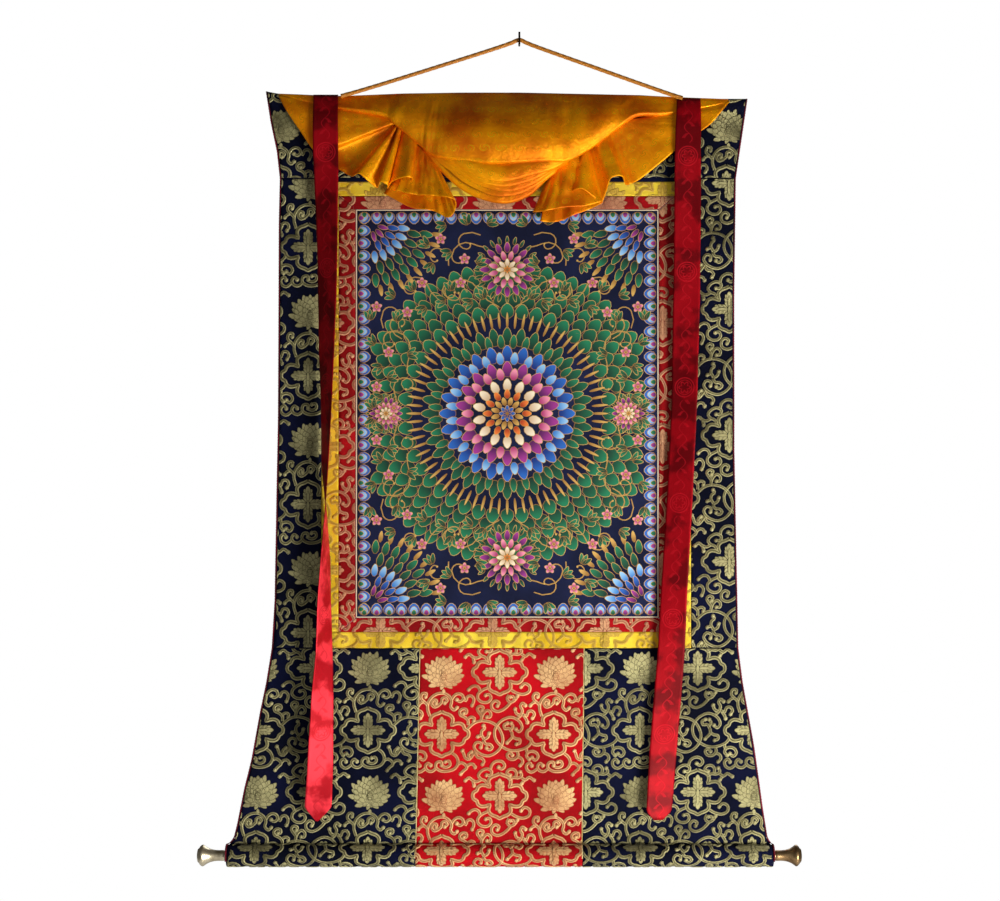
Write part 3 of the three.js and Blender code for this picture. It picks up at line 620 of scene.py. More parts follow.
def makeCanvas():
    left, right, top, bottom = hang["picture"]
    seam = 0.15
    outline = betweenEdges(straightEdge(left), straightEdge(right), bottom + seam, top - seam, seam, seam)
    return clothSheet("painted_canvas_sheet", 60, 80, outline, finish["canvas"],
                      "painting_canvas")


panels = makePanels()
strips = makeBorders()
makeCanvas()

print("stage: wall roll")

wound = {"overlap": 0.15, "slab": 6, "rim": ((1.2, 0.9), (2.2, -0.7), (1.0, 0.8), (2.5, -0.6), (1.0, 0.7))}


def only(kind, parts):
    return [part for part in parts if isinstance(part, kind)]


def rollPoint(x, turn, lift=0.0):  # turn in radians over the top towards the viewer
    radius = hang["rollRadius"] - 0.35 + 0.35 * noise.noise((x / 60, turn * 1.3, 2.2)) + lift
    z = hang["foot"] + hang["rollRadius"] + radius * math.cos(turn)
    return spot(x, hang["rollDepth"] + radius * math.sin(turn), z)


def makeRoll():
    cuts = [hang["rollEnds"][0], doorLeft[1][1], doorRight[1][1], hang["rollEnds"][1]]
    for index, (name, colour, _) in enumerate(lowerPanels):
        start = cuts[index] + (wound["overlap"] if index else 0)
        end = cuts[index + 1] - (wound["overlap"] if index < 2 else 0)
        bm = bmesh.new()
        ring = bmesh.ops.create_circle(bm, cap_ends=False, segments=56, radius=1)["verts"]
        for vert, turn in [(vert, math.atan2(vert.co.x, vert.co.y)) for vert in ring]:
            vert.co = rollPoint(start, turn)
        first = edges = list(bm.edges)
        steps = int((end - start) / wound["slab"])
        for step in range(1, steps + 1):
            made = bmesh.ops.extrude_edge_only(bm, edges=edges)["geom"]
            edges = only(bmesh.types.BMEdge, made)
            x = start + (end - start) * step / steps
            for vert in only(bmesh.types.BMVert, made):
                out = -vert.co.y / mm - hang["rollDepth"]
                up = vert.co.z / mm - hang["foot"] - hang["rollRadius"]
                vert.co = rollPoint(x, math.atan2(out, up))
        for rim, inward in ((first, 1), (edges, -1)):  # the wound end: a rim, a groove and the rod
            face = bmesh.ops.contextual_create(bm, geom=rim)["faces"][0]
            for thickness, sink in wound["rim"]:
                bmesh.ops.inset_region(bm, faces=[face], thickness=thickness * mm, depth=0)
                for vert in face.verts:
                    vert.co.x += inward * sink * mm
        bmesh.ops.recalc_face_normals(bm, faces=bm.faces)
        finishPiece(f"{name}_roll", bm, [finish[colour]], [f"brocade_{name}"])


makeRoll()

print("stage: brocade pattern")

brocade = {
    "pitch": (168.0, 185.5), "second": (87.0, 92.75), "tileLow": (-48, -66), "tileHigh": (150, 150),
    "collar": 6.6, "scroll": 5.5, "ring": 5.2, "height": 1.15, "step": 2.5, "knob": 3.6,
}


def curvePoint(points, share):  # smooth curve through the points, spaced by the root of their distance
    last = len(points) - 1
    at = min(max(share, 0), 1) * last
    index = min(int(at), last - 1)
    t = at - index
    b, c = points[index], points[index + 1]
    a = points[index - 1] if index else b * 2 - c
    d = points[index + 2] if index + 2 <= last else c * 2 - b
    ta, tb, tc = (max(math.sqrt((q - p).length), 1e-4) for p, q in ((a, b), (b, c), (c, d)))
    startSlope = ((b - a) / ta - (c - a) / (ta + tb) + (c - b) / tb) * tb
    endSlope = ((c - b) / tb - (d - b) / (tb + tc) + (d - c) / tc) * tb
    bend = (b - c) * 2 + startSlope + endSlope
    return b + startSlope * t + (c * 3 - b * 3 - startSlope * 2 - endSlope) * t * t + bend * t ** 3


def ahead(angle):  # directions in the x-z plane
    return Vector((math.cos(angle), 0, math.sin(angle)))


def toLeft(angle):
    return Vector((-math.sin(angle), 0, math.cos(angle)))


# Across a stroke: place in its width, height, and how light it is painted, which is partly a paler outline
# thread and partly painted sheen on the raised edges
strokeSection = [(-1, -0.5, 0.1), (-0.62, 1, 1), (0, 0.55, 0), (0.62, 1, 1), (1, -0.5, 0.1)]


class Pen:  # raises a stroke of laid thread along arcs and straight runs, in the x-z plane
    def __init__(self, shaded=False):
        self.whole = bmesh.new()
        self.whole.verts.layers.float.new("across")
        self.spare = bpy.data.meshes.new("penStroke")
        self.fill = 0
        self.shaded = shaded

    def open(self):  # each stroke is made in a small mesh of its own, which is quick, and then added
        self.bm = bmesh.new()
        self.across = self.bm.verts.layers.float.new("across")

    def close(self):
        bmesh.ops.recalc_face_normals(self.bm, faces=self.bm.faces)
        self.bm.to_mesh(self.spare)
        self.bm.free()
        self.whole.from_mesh(self.spare)

    def begin(self, x, z, heading, width, height):
        self.open()
        self.place = Vector((x, 0, z))
        self.heading = math.radians(heading)
        side = -toLeft(self.heading)
        verts = []
        for share, lift, light in strokeSection:
            vert = self.bm.verts.new(self.place + side * (share * width / 2) - Vector((0, lift * height, 0)))
            vert[self.across] = light
            verts.append(vert)
        self.edges = [self.bm.edges.new((a, b)) for a, b in zip(verts, verts[1:] + verts[:1])]
        self.bm.faces.new(verts).material_index = self.fill

    def step(self, place, heading):
        made = bmesh.ops.extrude_edge_only(self.bm, edges=self.edges)["geom"]
        verts, self.edges = only(bmesh.types.BMVert, made), only(bmesh.types.BMEdge, made)
        bmesh.ops.translate(self.bm, vec=place - self.place, verts=verts)
        turn = Matrix.Rotation(heading - self.heading, 3, Vector((0, -1, 0)))
        bmesh.ops.rotate(self.bm, cent=place, matrix=turn, verts=verts)
        self.place, self.heading = place, heading

    def end(self, knob=0.0):
        bmesh.ops.contextual_create(self.bm, geom=self.edges)
        if knob:
            size = (knob, brocade["height"] * 1.3, knob, 1)
            squash = Matrix.Translation(self.place) @ Matrix.Diagonal(size)
            made = bmesh.ops.create_icosphere(self.bm, subdivisions=1, radius=1, matrix=squash)
            for vert in made["verts"]:
                vert[self.across] = 0.9
        self.close()

    def arc(self, radius, degrees):  # to the left where degrees is positive
        turn = math.radians(degrees)
        centre = self.place + toLeft(self.heading) * math.copysign(radius, turn)
        steps = max(2, round(abs(degrees) / 25))
        part = Matrix.Rotation(turn / steps, 3, Vector((0, -1, 0)))
        for _ in range(steps):
            self.step(centre + part @ (self.place - centre), self.heading + turn / steps)

    def run(self, length):
        self.step(self.place + ahead(self.heading) * length, self.heading)

    def path(self, x, z, points, width, knob=0.0):  # a smooth stroke through the points
        spots = [Vector((x + px, 0, z + pz)) for px, pz in points]
        length = sum((q - p).length for p, q in zip(spots, spots[1:]))
        steps = max(3, round(length / brocade["step"]))
        line = [curvePoint(spots, index / steps) for index in range(steps + 1)]
        ways = [(q - p).normalized() for p, q in zip(line, line[1:])]
        heading = math.degrees(math.atan2(ways[0].z, ways[0].x))
        self.begin(line[0].x, line[0].z, heading, width, brocade["height"])
        for place, way, following in zip(line[1:], ways, ways[1:] + ways[-1:]):
            mean = way + following
            self.step(place, math.atan2(mean.z, mean.x))
        self.end(knob)

    def raiseTop(self, top, rise, light):  # a shaded petal keeps the light of its outline
        for vert in top.verts:
            vert.co.y -= rise
            if not self.shaded:
                vert[self.across] = light

    def petal(self, x, z, heading, length, width, height, rim=0.9, tip=0.16):
        self.open()
        ring = bmesh.ops.create_circle(self.bm, cap_ends=True, segments=10, radius=0.5)["verts"]
        face = ring[0].link_faces[0]
        spin = math.radians(heading)
        for vert in ring:
            along, aside = vert.co.x + 0.5, vert.co.y
            aside *= 1.05 - 0.35 * along * along
            along += tip if along > 0.99 else 0
            right, up = ahead(spin) * along * length, toLeft(spin) * aside * width
            vert.co = Vector((x, height * 0.4, z)) + right + up
            vert[self.across] = min(along, 1) if self.shaded else 0.1
        made = bmesh.ops.extrude_face_region(self.bm, geom=[face])["geom"]
        top = only(bmesh.types.BMFace, made)[0]
        self.raiseTop(top, height * 1.4, 0.0)
        bmesh.ops.inset_region(self.bm, faces=[top], thickness=rim, depth=0)
        self.raiseTop(top, -height * 0.1, 0.8)
        top.material_index = self.fill
        self.close()


# One quarter of the cloud collar, then the scrolls about the first collar and about the second one
collarQuarter = [
    (0, 33.5), (5.5, 30.8), (11.5, 28.7), (16, 24.5), (16.6, 19), (14.8, 13.4), (20.5, 15.3), (27.5, 15.8),
    (32.5, 12.7), (34.6, 7.6), (39, 5), (40.6, 0),
]
firstScrolls = [
    [(-17.8, 27), (-21, 37), (-20.5, 46), (-16, 54), (-7.4, 60), (3, 61), (11, 56.5), (15, 49.5),
     (13.5, 41), (18.5, 36), (22.8, 39.5)],
    [(-20.8, 43), (-26, 48), (-31, 47), (-35, 43)],
    [(-26, 48), (-31, 54), (-28.5, 61), (-23, 60.5), (-24, 56)],
    [(-4, 43), (-11, 40.5), (-15, 45.5), (-12, 51), (-7.5, 50), (-8.5, 46)],
    [(-5, 43), (0, 47.5), (0.5, 53), (5, 54.5), (8.5, 50.5), (4.5, 46.5)],
    [(14.5, 51), (19.5, 58), (25.5, 60.5), (31, 58), (32.5, 52.5), (27.5, 48.5), (22.5, 51.5)],
    [(32.5, 53), (36.5, 50), (38, 55.5), (43.5, 57.5), (48, 53), (47.5, 47), (45.5, 43)],
    [(39.5, 13), (39.5, 20), (34, 25.5), (28.5, 28), (27, 33.5), (31, 37.5), (37, 36.5), (37, 31.5),
     (33, 31)],
    [(38.5, 22), (44, 25.5), (49, 23.5), (48, 19.5)],
    [(58.5, 19), (60, 26), (56, 32), (53, 38), (57.5, 42), (62.5, 39.5), (60, 35)],
    [(60, 25), (63, 31.5), (68.5, 35.5), (73.5, 31.5), (72.5, 25.5), (67.5, 25.5)],
    [(51, -26), (46.5, -32), (41, -38), (35.5, -36), (33, -29.5), (31, -25)],
    [(42, -38), (40, -31), (44.5, -27)], [(50, -28), (54, -35), (60, -36.5), (63.5, -41), (61, -45.5)],
    [(63.6, -8), (59.5, -1), (60.5, 5), (64.5, 8.5), (62.5, 12.5)], [(59.5, -2), (54, -4)],
    [(63.6, -8), (69, -5), (71, 1)], [(62, -9), (66, -15), (72, -15.5), (76, -20), (71.5, -24),
     (67, -21)],
    [(105, 3), (101, 8.5), (95, 8), (93.5, 13.5), (98.5, 16)], [(103, 6), (107, 11), (104, 16)],
    [(105, 3), (106.5, -4), (112, -7), (117, -8), (117, -13.5), (112, -15)],
    [(107, -4), (102, -9), (98, -13)],
    [(112.5, 23), (118.5, 28), (121, 36), (118, 42), (121.5, 46.5), (125.5, 43)],
    [(118, 28), (112, 31), (110, 37.5)],
    [(121, 30), (127, 27), (130, 34), (136, 34.5), (139, 29.5), (136, 24)],
    [(122, 29), (126.5, 23), (128.5, 17.5)],
    [(14.8, -28), (22, -34), (24.6, -43), (20, -51.5), (10, -55.5), (-2, -55), (-9, -49.5), (-7, -42.5),
     (-0.5, -42), (0, -47)],
    [(1, -48.5), (6.5, -50), (12.5, -46.5), (11, -40.5), (5.5, -41.5)],
    [(-8, -51), (-15, -56), (-22, -54), (-24.5, -48), (-20.5, -43.5), (-16.5, -47)],
    [(-25, -52), (-33, -57), (-39.5, -54), (-41, -47), (-36, -43), (-33, -47.5)],
    [(23.7, -46), (29, -43), (35, -46), (37.5, -51), (33, -55), (28.5, -60)],
    [(37, -50), (41.5, -45.5), (47, -45.5), (50, -50)],
    [(113, -25), (114.5, -32), (108.5, -38), (101, -37), (98, -31), (103, -28), (106, -32)],
    [(113, -34), (119.5, -36.5), (121.5, -42.5), (117.5, -47)],
    [(127, -20), (128, -27), (135, -25.5), (142, -28), (144.5, -34), (140, -39), (135, -35)],
    [(129, -27), (127, -33), (131, -37.5)],
]
secondScrolls = [
    [(-17, -23), (-26.6, -27.4), (-32.6, -33.3), (-32.8, -39.5), (-26.6, -45), (-17.8, -45), (-13, -39.5),
     (-15.5, -33.5), (-21, -34.5)],
    [(-29, -29), (-32, -22.5), (-37, -20.5), (-42, -22), (-46.5, -26)],
    [(16.3, -26), (25, -31), (35.5, -33), (44, -29), (44.8, -21), (37.5, -17), (32, -22)],
    [(14, -34), (11, -39.5), (15.5, -45), (22, -42.5), (26.5, -36)], [(22, -42), (20, -36.5), (16, -37)],
    [(16, -46), (11, -51.5), (4.4, -56.5), (-3.5, -59), (-11, -55.5), (-12, -48), (-6.5, -43), (-1, -46),
     (-3.5, -50.5)],
    [(-18, 17), (-22, 22.5), (-28, 25), (-32, 30.5), (-27, 37.5), (-18.5, 40.5), (-12, 36.5), (-14, 31),
     (-20, 31)],
    [(-14, 39), (-11.5, 47), (-4.5, 52), (4, 51), (7.5, 45), (3, 40), (-2, 43)],
    [(-28, 24), (-35, 21), (-40.5, 23), (-46, 27), (-51.5, 23)], [(-40, 22), (-38.5, 15)],
    [(13, 23), (20, 27.5), (28, 27), (33, 31), (30.5, 36)],
    [(24, 28), (25, 35), (20.5, 40), (13.5, 39), (10.5, 34), (15.5, 31)],
    [(32, 28), (38.5, 24), (44, 28), (51.5, 23.5)], [(37, 24), (33, 18.5)],
]
rings = [
    [(38.5, 7.5), (48.8, 16.3), (59.2, 19.6), (72.5, 18), (82.9, 11.8), (89.5, 1.5), (91.8, -8.9),
     (88, -20.7), (80, -28.9), (69.6, -32.8), (59.2, -30.5), (51.8, -25.2), (48.5, -18.5), (53, -12.5),
     (59.5, -14.5), (58.5, -20)],
    [(134.5, -12), (130, -17.8), (120, -23), (108, -25), (97.7, -23), (87.3, -16.3), (80.7, -7.4),
     (79.2, 4.4), (84.4, 14.8), (93.2, 22.2), (103.6, 25.2), (112.5, 22.2), (118.5, 16.5), (120.5, 9),
     (116, 3.5), (111, 7.5)],
]
palmette = [  # leaves of one arm: start, length, width, rise, tip, leans
    (14.5, 9.5, 7.5, 0.6, 0.3, (42, -42)), (9, 10.5, 8, 0.6, 0.3, (42, -42)),
    (3.5, 10, 7, 0.6, 0.3, (42, -42)), (13, 13.5, 9, 0.75, 0.4, (0,)), (2, 18, 5.5, 1.0, 0.6, (0,)),
]
lotusRows = [  # half width, half height, number of petals, length, width, rise
    (36, 30.5, 19, 20, 8.5, 0.4), (30, 26, 16, 18, 10, 0.65), (23.5, 21.5, 12, 17, 10.5, 0.9),
    (16, 16, 9, 15, 10, 1.15), (8.5, 10, 6, 12, 8.5, 1.4),
]


def cloudCollar(pen, x, z):
    ring = []
    for flipX, flipZ, order in ((1, 1, 1), (1, -1, -1), (-1, -1, 1), (-1, 1, -1)):
        ring += [(px * flipX, pz * flipZ) for px, pz in collarQuarter[::order]][:-1]
    pen.path(x, z, ring + ring[:1], brocade["collar"])
    for heading in (0, 90, 180, 270):  # a palmette of four toothed leaves
        way = ahead(math.radians(heading))
        for start, length, width, rise, tip, leans in palmette:
            for lean in leans:
                pen.petal(x + way.x * start, z + way.z * start, heading + lean, length, width, rise, tip=tip)
    pen.petal(x, z - 8, 90, 14, 6, 1.3, tip=0.4)


def lotus(pen, x, z):
    for level, (wide, tall, count, length, width, rise) in enumerate(lotusRows):
        for index in range(count):
            at = math.radians(90 + 360 * (index + 0.5 * (level % 2)) / count)
            tipX, tipZ = wide * math.cos(at), tall * math.sin(at)
            way = Vector((tipX, tipZ + 0.45 * tall)).normalized()
            jut = 1 + 0.1 * math.sin(2.9 * index + level)
            reach = length * jut
            heading = math.degrees(math.atan2(way.y, way.x))
            startX, startZ = x + tipX * jut - way.x * reach, z + tipZ * jut - way.y * reach
            pen.petal(startX, startZ, heading, reach * 0.72, width, rise, tip=0.42)
    pen.petal(x, z - 33, 90, 8, 6, 1.0, rim=0.8)


def brocadeTile():
    pen = Pen()
    cloudCollar(pen, 0, 0)
    cloudCollar(pen, *brocade["second"])
    lotus(pen, 3, brocade["pitch"][1] / 2)
    for curves, place, width in ((rings, (0, 0), "ring"), (firstScrolls, (0, 0), "scroll"),
                                 (secondScrolls, brocade["second"], "scroll")):
        for points in curves:
            pen.path(*place, points, brocade[width], brocade["knob"])
    mesh = bpy.data.meshes.new("brocadeTile")
    pen.whole.to_mesh(mesh)
    pen.whole.free()
    return mesh


tile = brocadeTile()
print("  one repeat has", len(tile.polygons), "faces")

wrap = {"turn": -0.31, "start": -1200.1, "rise": (1192, 1200), "reach": 3.6}


def repeats(axis, origin, pitch, low, high):  # where the repeats stand that reach in between low and high
    before, after = brocade["tileLow"][axis], brocade["tileHigh"][axis]
    first, last = math.floor((low - after - origin) / pitch), math.ceil((high - before - origin) / pitch)
    places = [origin + count * pitch for count in range(first, last + 1)]
    return [at for at in places if at + after >= low and at + before <= high]


def cutAway(bm, x, z, normalX, normalZ):  # cuts off what lies beyond a line and closes the ends
    parts = list(bm.verts) + list(bm.edges) + list(bm.faces)
    made = bmesh.ops.bisect_plane(bm, geom=parts, dist=1e-5, plane_co=(x, 0, z),
                                  plane_no=(normalX, 0, normalZ), clear_outer=True)
    bmesh.ops.holes_fill(bm, edges=only(bmesh.types.BMEdge, made["geom_cut"]), sides=0)


def layPattern(name, origin, box, toCloth, thread, slotName, cuts=(), stretch=1.0, thin=1.0):
    # box is left, right, low, high; cuts are further lines as x, z, normal x, normal z
    left, right, low, high = box
    pitchX, pitchZ = brocade["pitch"]
    bm = bmesh.new()
    for x in repeats(0, origin[0], pitchX, left, right):
        for z in repeats(1, origin[1], pitchZ * stretch, low, high):
            before = len(bm.verts)
            bm.from_mesh(tile)
            bm.verts.ensure_lookup_table()
            for vert in bm.verts[before:]:
                vert.co = (vert.co.x + x, vert.co.y * thin, vert.co.z * stretch + z)
    for line in [(left, 0, -1, 0), (right, 0, 1, 0), (0, low, 0, -1), (0, high, 0, 1), *cuts]:
        cutAway(bm, *line)
    for vert in bm.verts:
        vert.co = toCloth(vert.co.x, vert.co.z, -vert.co.y)
    print("  ", name, len(bm.faces), "faces")
    finishPiece(name, bm, [finish[thread]])


def onFlat(x, z, lift):
    return spot(x, frontDepth(x, z) + lift, z)


def onPuckered(x, z, lift):
    return spot(x, frontDepth(x, z) + pucker(x, z) + lift, z)


def onSide(x, z, lift):
    return onFlat(withinEdges(x, z), z, lift)


def onHeading(x, z, lift):
    z = min(z, lookUp(topLine, x) - 1.5)
    x = withinEdges(x, z)
    return spot(x, frontDepth(x, z) + pocketSwell(x, z) + lift, z)


def onSkirt(x, z, lift):  # past the foot of the cloth the pattern goes on round the roll
    if z <= wrap["start"]:
        return rollPoint(x, wrap["turn"] + (wrap["start"] - z) / hang["rollRadius"], lift)
    x = withinEdges(x, z)
    rise = hang["rollDepth"] + hang["rollRadius"] * math.sin(wrap["turn"]) - frontDepth(x, z)
    return spot(x, frontDepth(x, z) + rise * smoothStep(-z, *wrap["rise"]) + lift, z)


def slopeCut(topX, lowX, side):  # a line down the skirt, with the outside on the given side
    top, low = doorLeft[0][0], doorLeft[1][0]
    along = Vector((lowX - topX, 0, low - top)).normalized()
    return topX, top, -along.z * side, along.x * side


def stripBox(side, outer, inner, slant):  # left, right, low, high of one border strip, and its mitre lines
    edge = 0.5
    left, right, top, bottom = outer
    inLeft, inRight, inTop, inBottom = inner
    x0, x1 = {"left": (left, inLeft), "right": (inRight, right)}.get(side, (left, right))
    ends = (bottom, top) if slant else (inBottom, inTop)
    z0, z1 = {"top": (inTop, top), "bottom": (bottom, inBottom)}.get(side, ends)
    box = (x0 + edge, x1 - edge, z0 + edge, z1 - edge)
    cuts = []
    for column, row in stripCorners[side] if slant else ():
        ax, az, bx, bz = outer[column], outer[row], inner[column], inner[row]
        across = Vector((-(bz - az), 0, bx - ax)).normalized()
        middle = Vector(((box[0] + box[1]) / 2 - ax, 0, (box[2] + box[3]) / 2 - az))
        outward = -across if across.dot(middle) > 0 else across
        cuts.append((ax - outward.x * edge, az - outward.z * edge, outward.x, outward.z))
    return box, cuts


def layBrocade():
    outerLeft, outerRight, _, outerBottom = hang["borderOuter"]
    upright, navy = (outerBottom + 1, -202), ("goldOnNavy", "navy_brocade")
    skirt = (wrap["start"] - hang["rollRadius"] * wrap["reach"], outerBottom - 1)
    layPattern("heading_pattern", (-361, -30), (-378, 340, -200, -71), onHeading, *navy)
    layPattern("side_pattern_left", (-317, -304.5), (-364.5, outerLeft - 0.6, *upright), onSide, *navy,
               stretch=1.04)
    layPattern("side_pattern_right", (228, -303), (outerRight + 0.6, 326, *upright), onSide, *navy,
               stretch=1.02)
    layPattern("lower_pattern_left", (-227, -1029), (-437, -150.5, *skirt), onSkirt, *navy,
               [slopeCut(-149.8, -155.8, 1), slopeCut(-368.4, -425, -1)])
    layPattern("lower_pattern_right", (180.5, -1029), (94.5, 378.6, *skirt), onSkirt, *navy,
               [slopeCut(97.8, 94.8, -1), slopeCut(325.3, 369, 1)])
    for side in stripCorners:
        for name, border in borders.items():
            box, cuts = stripBox(side, *border["boxes"], border["slant"])
            toCloth = onPuckered if (name, side) == puckered else onFlat
            layPattern(f"{name}_pattern_{side}", (-40, -140), box, toCloth, border["thread"], border["slot"],
                       cuts, thin=0.6)
    layPattern("lower_pattern_center", (-116.5, -1035), (-155, 96.4, *skirt), onSkirt, "goldOnRed",
               "red_brocade", [slopeCut(-148.2, -154.2, -1), slopeCut(96.2, 93.2, 1)])


def laySelvage(name, line):  # the woven edge of the red cloth, a thin pale line on each seam
    pen = Pen()
    (z0, x0), (z1, x1) = line
    points = [(x0 + (x1 - x0) * share / 20, z0 + (z1 - z0) * share / 20) for share in range(24)]
    pen.path(0, 0, points, 1.5)
    for vert in pen.whole.verts:
        vert.co = onSkirt(vert.co.x, vert.co.z, -vert.co.y * 0.5)
    finishPiece(name, pen.whole, [finish["selvage"]])


layBrocade()
laySelvage("selvage_left", doorLeft)
laySelvage("selvage_right", doorRight)

print("stage: painted picture")

picture = {
    "centre": (-18.15, -554.25), "half": (227.3, 306.4), "rim": 0.75, "cornerInset": 22, "border": 24,
    "fieldInset": 38, "edgeInset": 3.5, "scallopPitch": 19, "leaf": (17, 8),
    "vine": (1.9, 0.5, 1.8),  # width, height and end knob
    "above": 216, "beside": 182, "besideSize": (0.6, 0.6, 0.7),  # the small rosettes
    "line": (1.1, 1.7, 0.6),  # inset, width and height
}
# A plain rosette design of its own. Each ring is the number of its petals, inner radius, length, width,
# paint, lift, and whether it is turned by half a petal
greenField = [
    (68, 206, 23, 21, 2, 0.10, 0), (62, 190, 24, 21, 3, 0.16, 1), (56, 174, 24, 21, 2, 0.22, 0),
    (50, 158, 24, 22, 3, 0.28, 1), (44, 142, 24, 22, 2, 0.34, 0),
]
mandala = [
    (72, 127, 25, 4.2, 0, 0.42, 0), (36, 101, 29, 16, 3, 0.34, 0), (36, 97, 22, 12, 2, 0.46, 1),
    (24, 76, 27, 18, 4, 0.58, 0), (24, 73, 20, 13, 5, 0.70, 1), (18, 54, 25, 17, 6, 0.82, 0),
    (18, 50, 19, 13, 7, 0.94, 1), (14, 33, 20, 14, 1, 1.06, 0), (12, 22, 15, 10, 8, 1.18, 0),
    (12, 12, 13, 8, 0, 1.3, 1), (8, 0, 13, 8, 4, 1.42, 0),
]
smallRosette = [
    (24, 38, 13, 6, 3, 0.3, 0), (16, 25, 17, 10, 6, 0.45, 0), (12, 14, 15, 9, 7, 0.6, 1),
    (8, 4, 13, 8, 1, 0.75, 0), (6, 0, 6, 4, 8, 0.9, 0),
]
cornerRosette = [
    (40, 92, 18, 7, 0, 0.25, 0), (34, 74, 22, 12, 2, 0.4, 1), (28, 56, 22, 12, 3, 0.52, 0),
    (24, 40, 20, 11, 5, 0.64, 1), (18, 25, 19, 10, 4, 0.76, 0), (12, 11, 17, 8, 6, 0.88, 1),
    (8, 0, 12, 7, 0, 1.0, 0),
]
blossom = [(5, 1.2, 7.5, 6.5, 7, 0.9, 0), (5, 0, 3, 2.4, 0, 1.1, 1)]
# One quarter of the picture: vines as x, z, heading and arcs, then blossoms and leaves
vines = [
    (12, 160, 20, [(60, 40), (30, -100), (14, -150), (7, -120)]),
    (60, 182, 70, [(24, -80), (12, -170), (6, -110)]), (108, 176, 40, [(40, 30), (18, -150), (9, -160)]),
    (150, 60, 85, [(70, 24), (26, -120), (12, -150), (6, -100)]),
    (166, 12, 90, [(60, -20), (16, 150), (8, 160)]), (158, 112, 20, [(30, 45), (12, 160), (6, 120)]),
    (36, 250, 10, [(70, 14), (22, -110), (10, -150)]), (40, 268, 30, [(30, -50), (12, -160), (6, -110)]),
    (88, 222, 100, [(24, -70), (11, -170), (5, -90)]), (186, 128, 60, [(26, 60), (12, 170), (6, 100)]),
]
blossomPlaces = [
    (70, 196), (128, 196), (178, 92), (196, 40), (100, 262), (64, 232), (150, 152), (196, 160), (170, 8),
]
leafRuns = [
    (34, 172, 60), (52, 168, -20), (84, 184, 80), (92, 170, -10), (122, 160, -40), (140, 184, 60),
    (166, 138, 100), (150, 88, 170), (188, 72, -30), (198, 104, 40), (186, 24, -10), (200, 8, 60),
    (46, 224, 150), (84, 244, -30), (118, 252, 30), (58, 284, 60), (92, 284, -20), (30, 284, 150),
    (112, 226, -60), (206, 140, 90), (168, 176, 20), (180, 52, 160),
]


def paintRing(pen, x, z, rings, keep=None):
    for count, inner, length, width, paint, lift, half in rings:
        pen.fill = paint
        for index in range(count):
            heading = 90 + 360 * (index + 0.5 * half) / count
            at = math.radians(heading)
            px, pz = x + inner * math.cos(at), z + inner * math.sin(at)
            if keep is None or keep(px, pz):
                pen.petal(px, pz, heading, length, width, lift, picture["rim"], 0.2)


def paintScallops(pen, halfX, halfZ, pitch):  # a row of small petals round the edge of the picture
    edges = [(halfX, halfZ, 270), (halfX, -halfZ, 90), (halfZ, halfX, 180), (halfZ, -halfX, 0)]
    for along, across, heading in edges:
        count = round(2 * along / pitch)
        for index in range(count):
            run = -along + 2 * along * (index + 0.5) / count
            x, z = (run, across) if heading in (90, 270) else (across, run)
            for paint, length, share, lift in ((4, 19, 0.98, 0.22), (5, 14, 0.7, 0.34),
                                               (6 if index % 2 else 2, 9, 0.44, 0.46)):
                pen.fill = paint
                pen.petal(x, z, heading, length, pitch * share, lift, picture["rim"], 0.12)


def paintLine(pen, halfX, halfZ, width, lift):
    steps = 40
    for x, z, heading, run in ((-halfX, halfZ, 0, halfX), (halfX, -halfZ, 180, halfX),
                               (halfX, halfZ, 270, halfZ), (-halfX, -halfZ, 90, halfZ)):
        pen.begin(x, z, heading, width, lift)
        for _ in range(steps):
            pen.run(run / (steps / 2))
        pen.end()


def paintQuarter(pen, flipX, flipZ):  # corner rosette, vines, leaves and blossoms of one quarter
    halfX, halfZ = picture["half"]
    reachX, reachZ = halfX - picture["border"], halfZ - picture["border"]
    width, lift, knob = picture["vine"]

    def here(x, z):
        return 0 < x * flipX < reachX and 0 < z * flipZ < reachZ

    def mirrored(heading):
        turned = heading if flipX > 0 else 180 - heading
        return turned if flipZ > 0 else -turned

    inset = picture["cornerInset"]
    paintRing(pen, flipX * (halfX - inset), flipZ * (halfZ - inset), cornerRosette, here)
    pen.fill = 0
    for x, z, heading, moves in vines:
        pen.begin(x * flipX, z * flipZ, mirrored(heading), width, lift)
        for radius, degrees in moves:
            pen.arc(radius, degrees * flipX * flipZ)
        pen.end(knob)
    for x, z, heading in leafRuns:
        for lean, paint in ((32, 2), (-32, 3), (0, 2)):
            pen.fill = paint
            pen.petal(x * flipX, z * flipZ, mirrored(heading) + lean, *picture["leaf"], 0.5 + 0.05 * paint,
                      picture["rim"], 0.4)
    for x, z in blossomPlaces:
        paintRing(pen, x * flipX, z * flipZ, blossom)


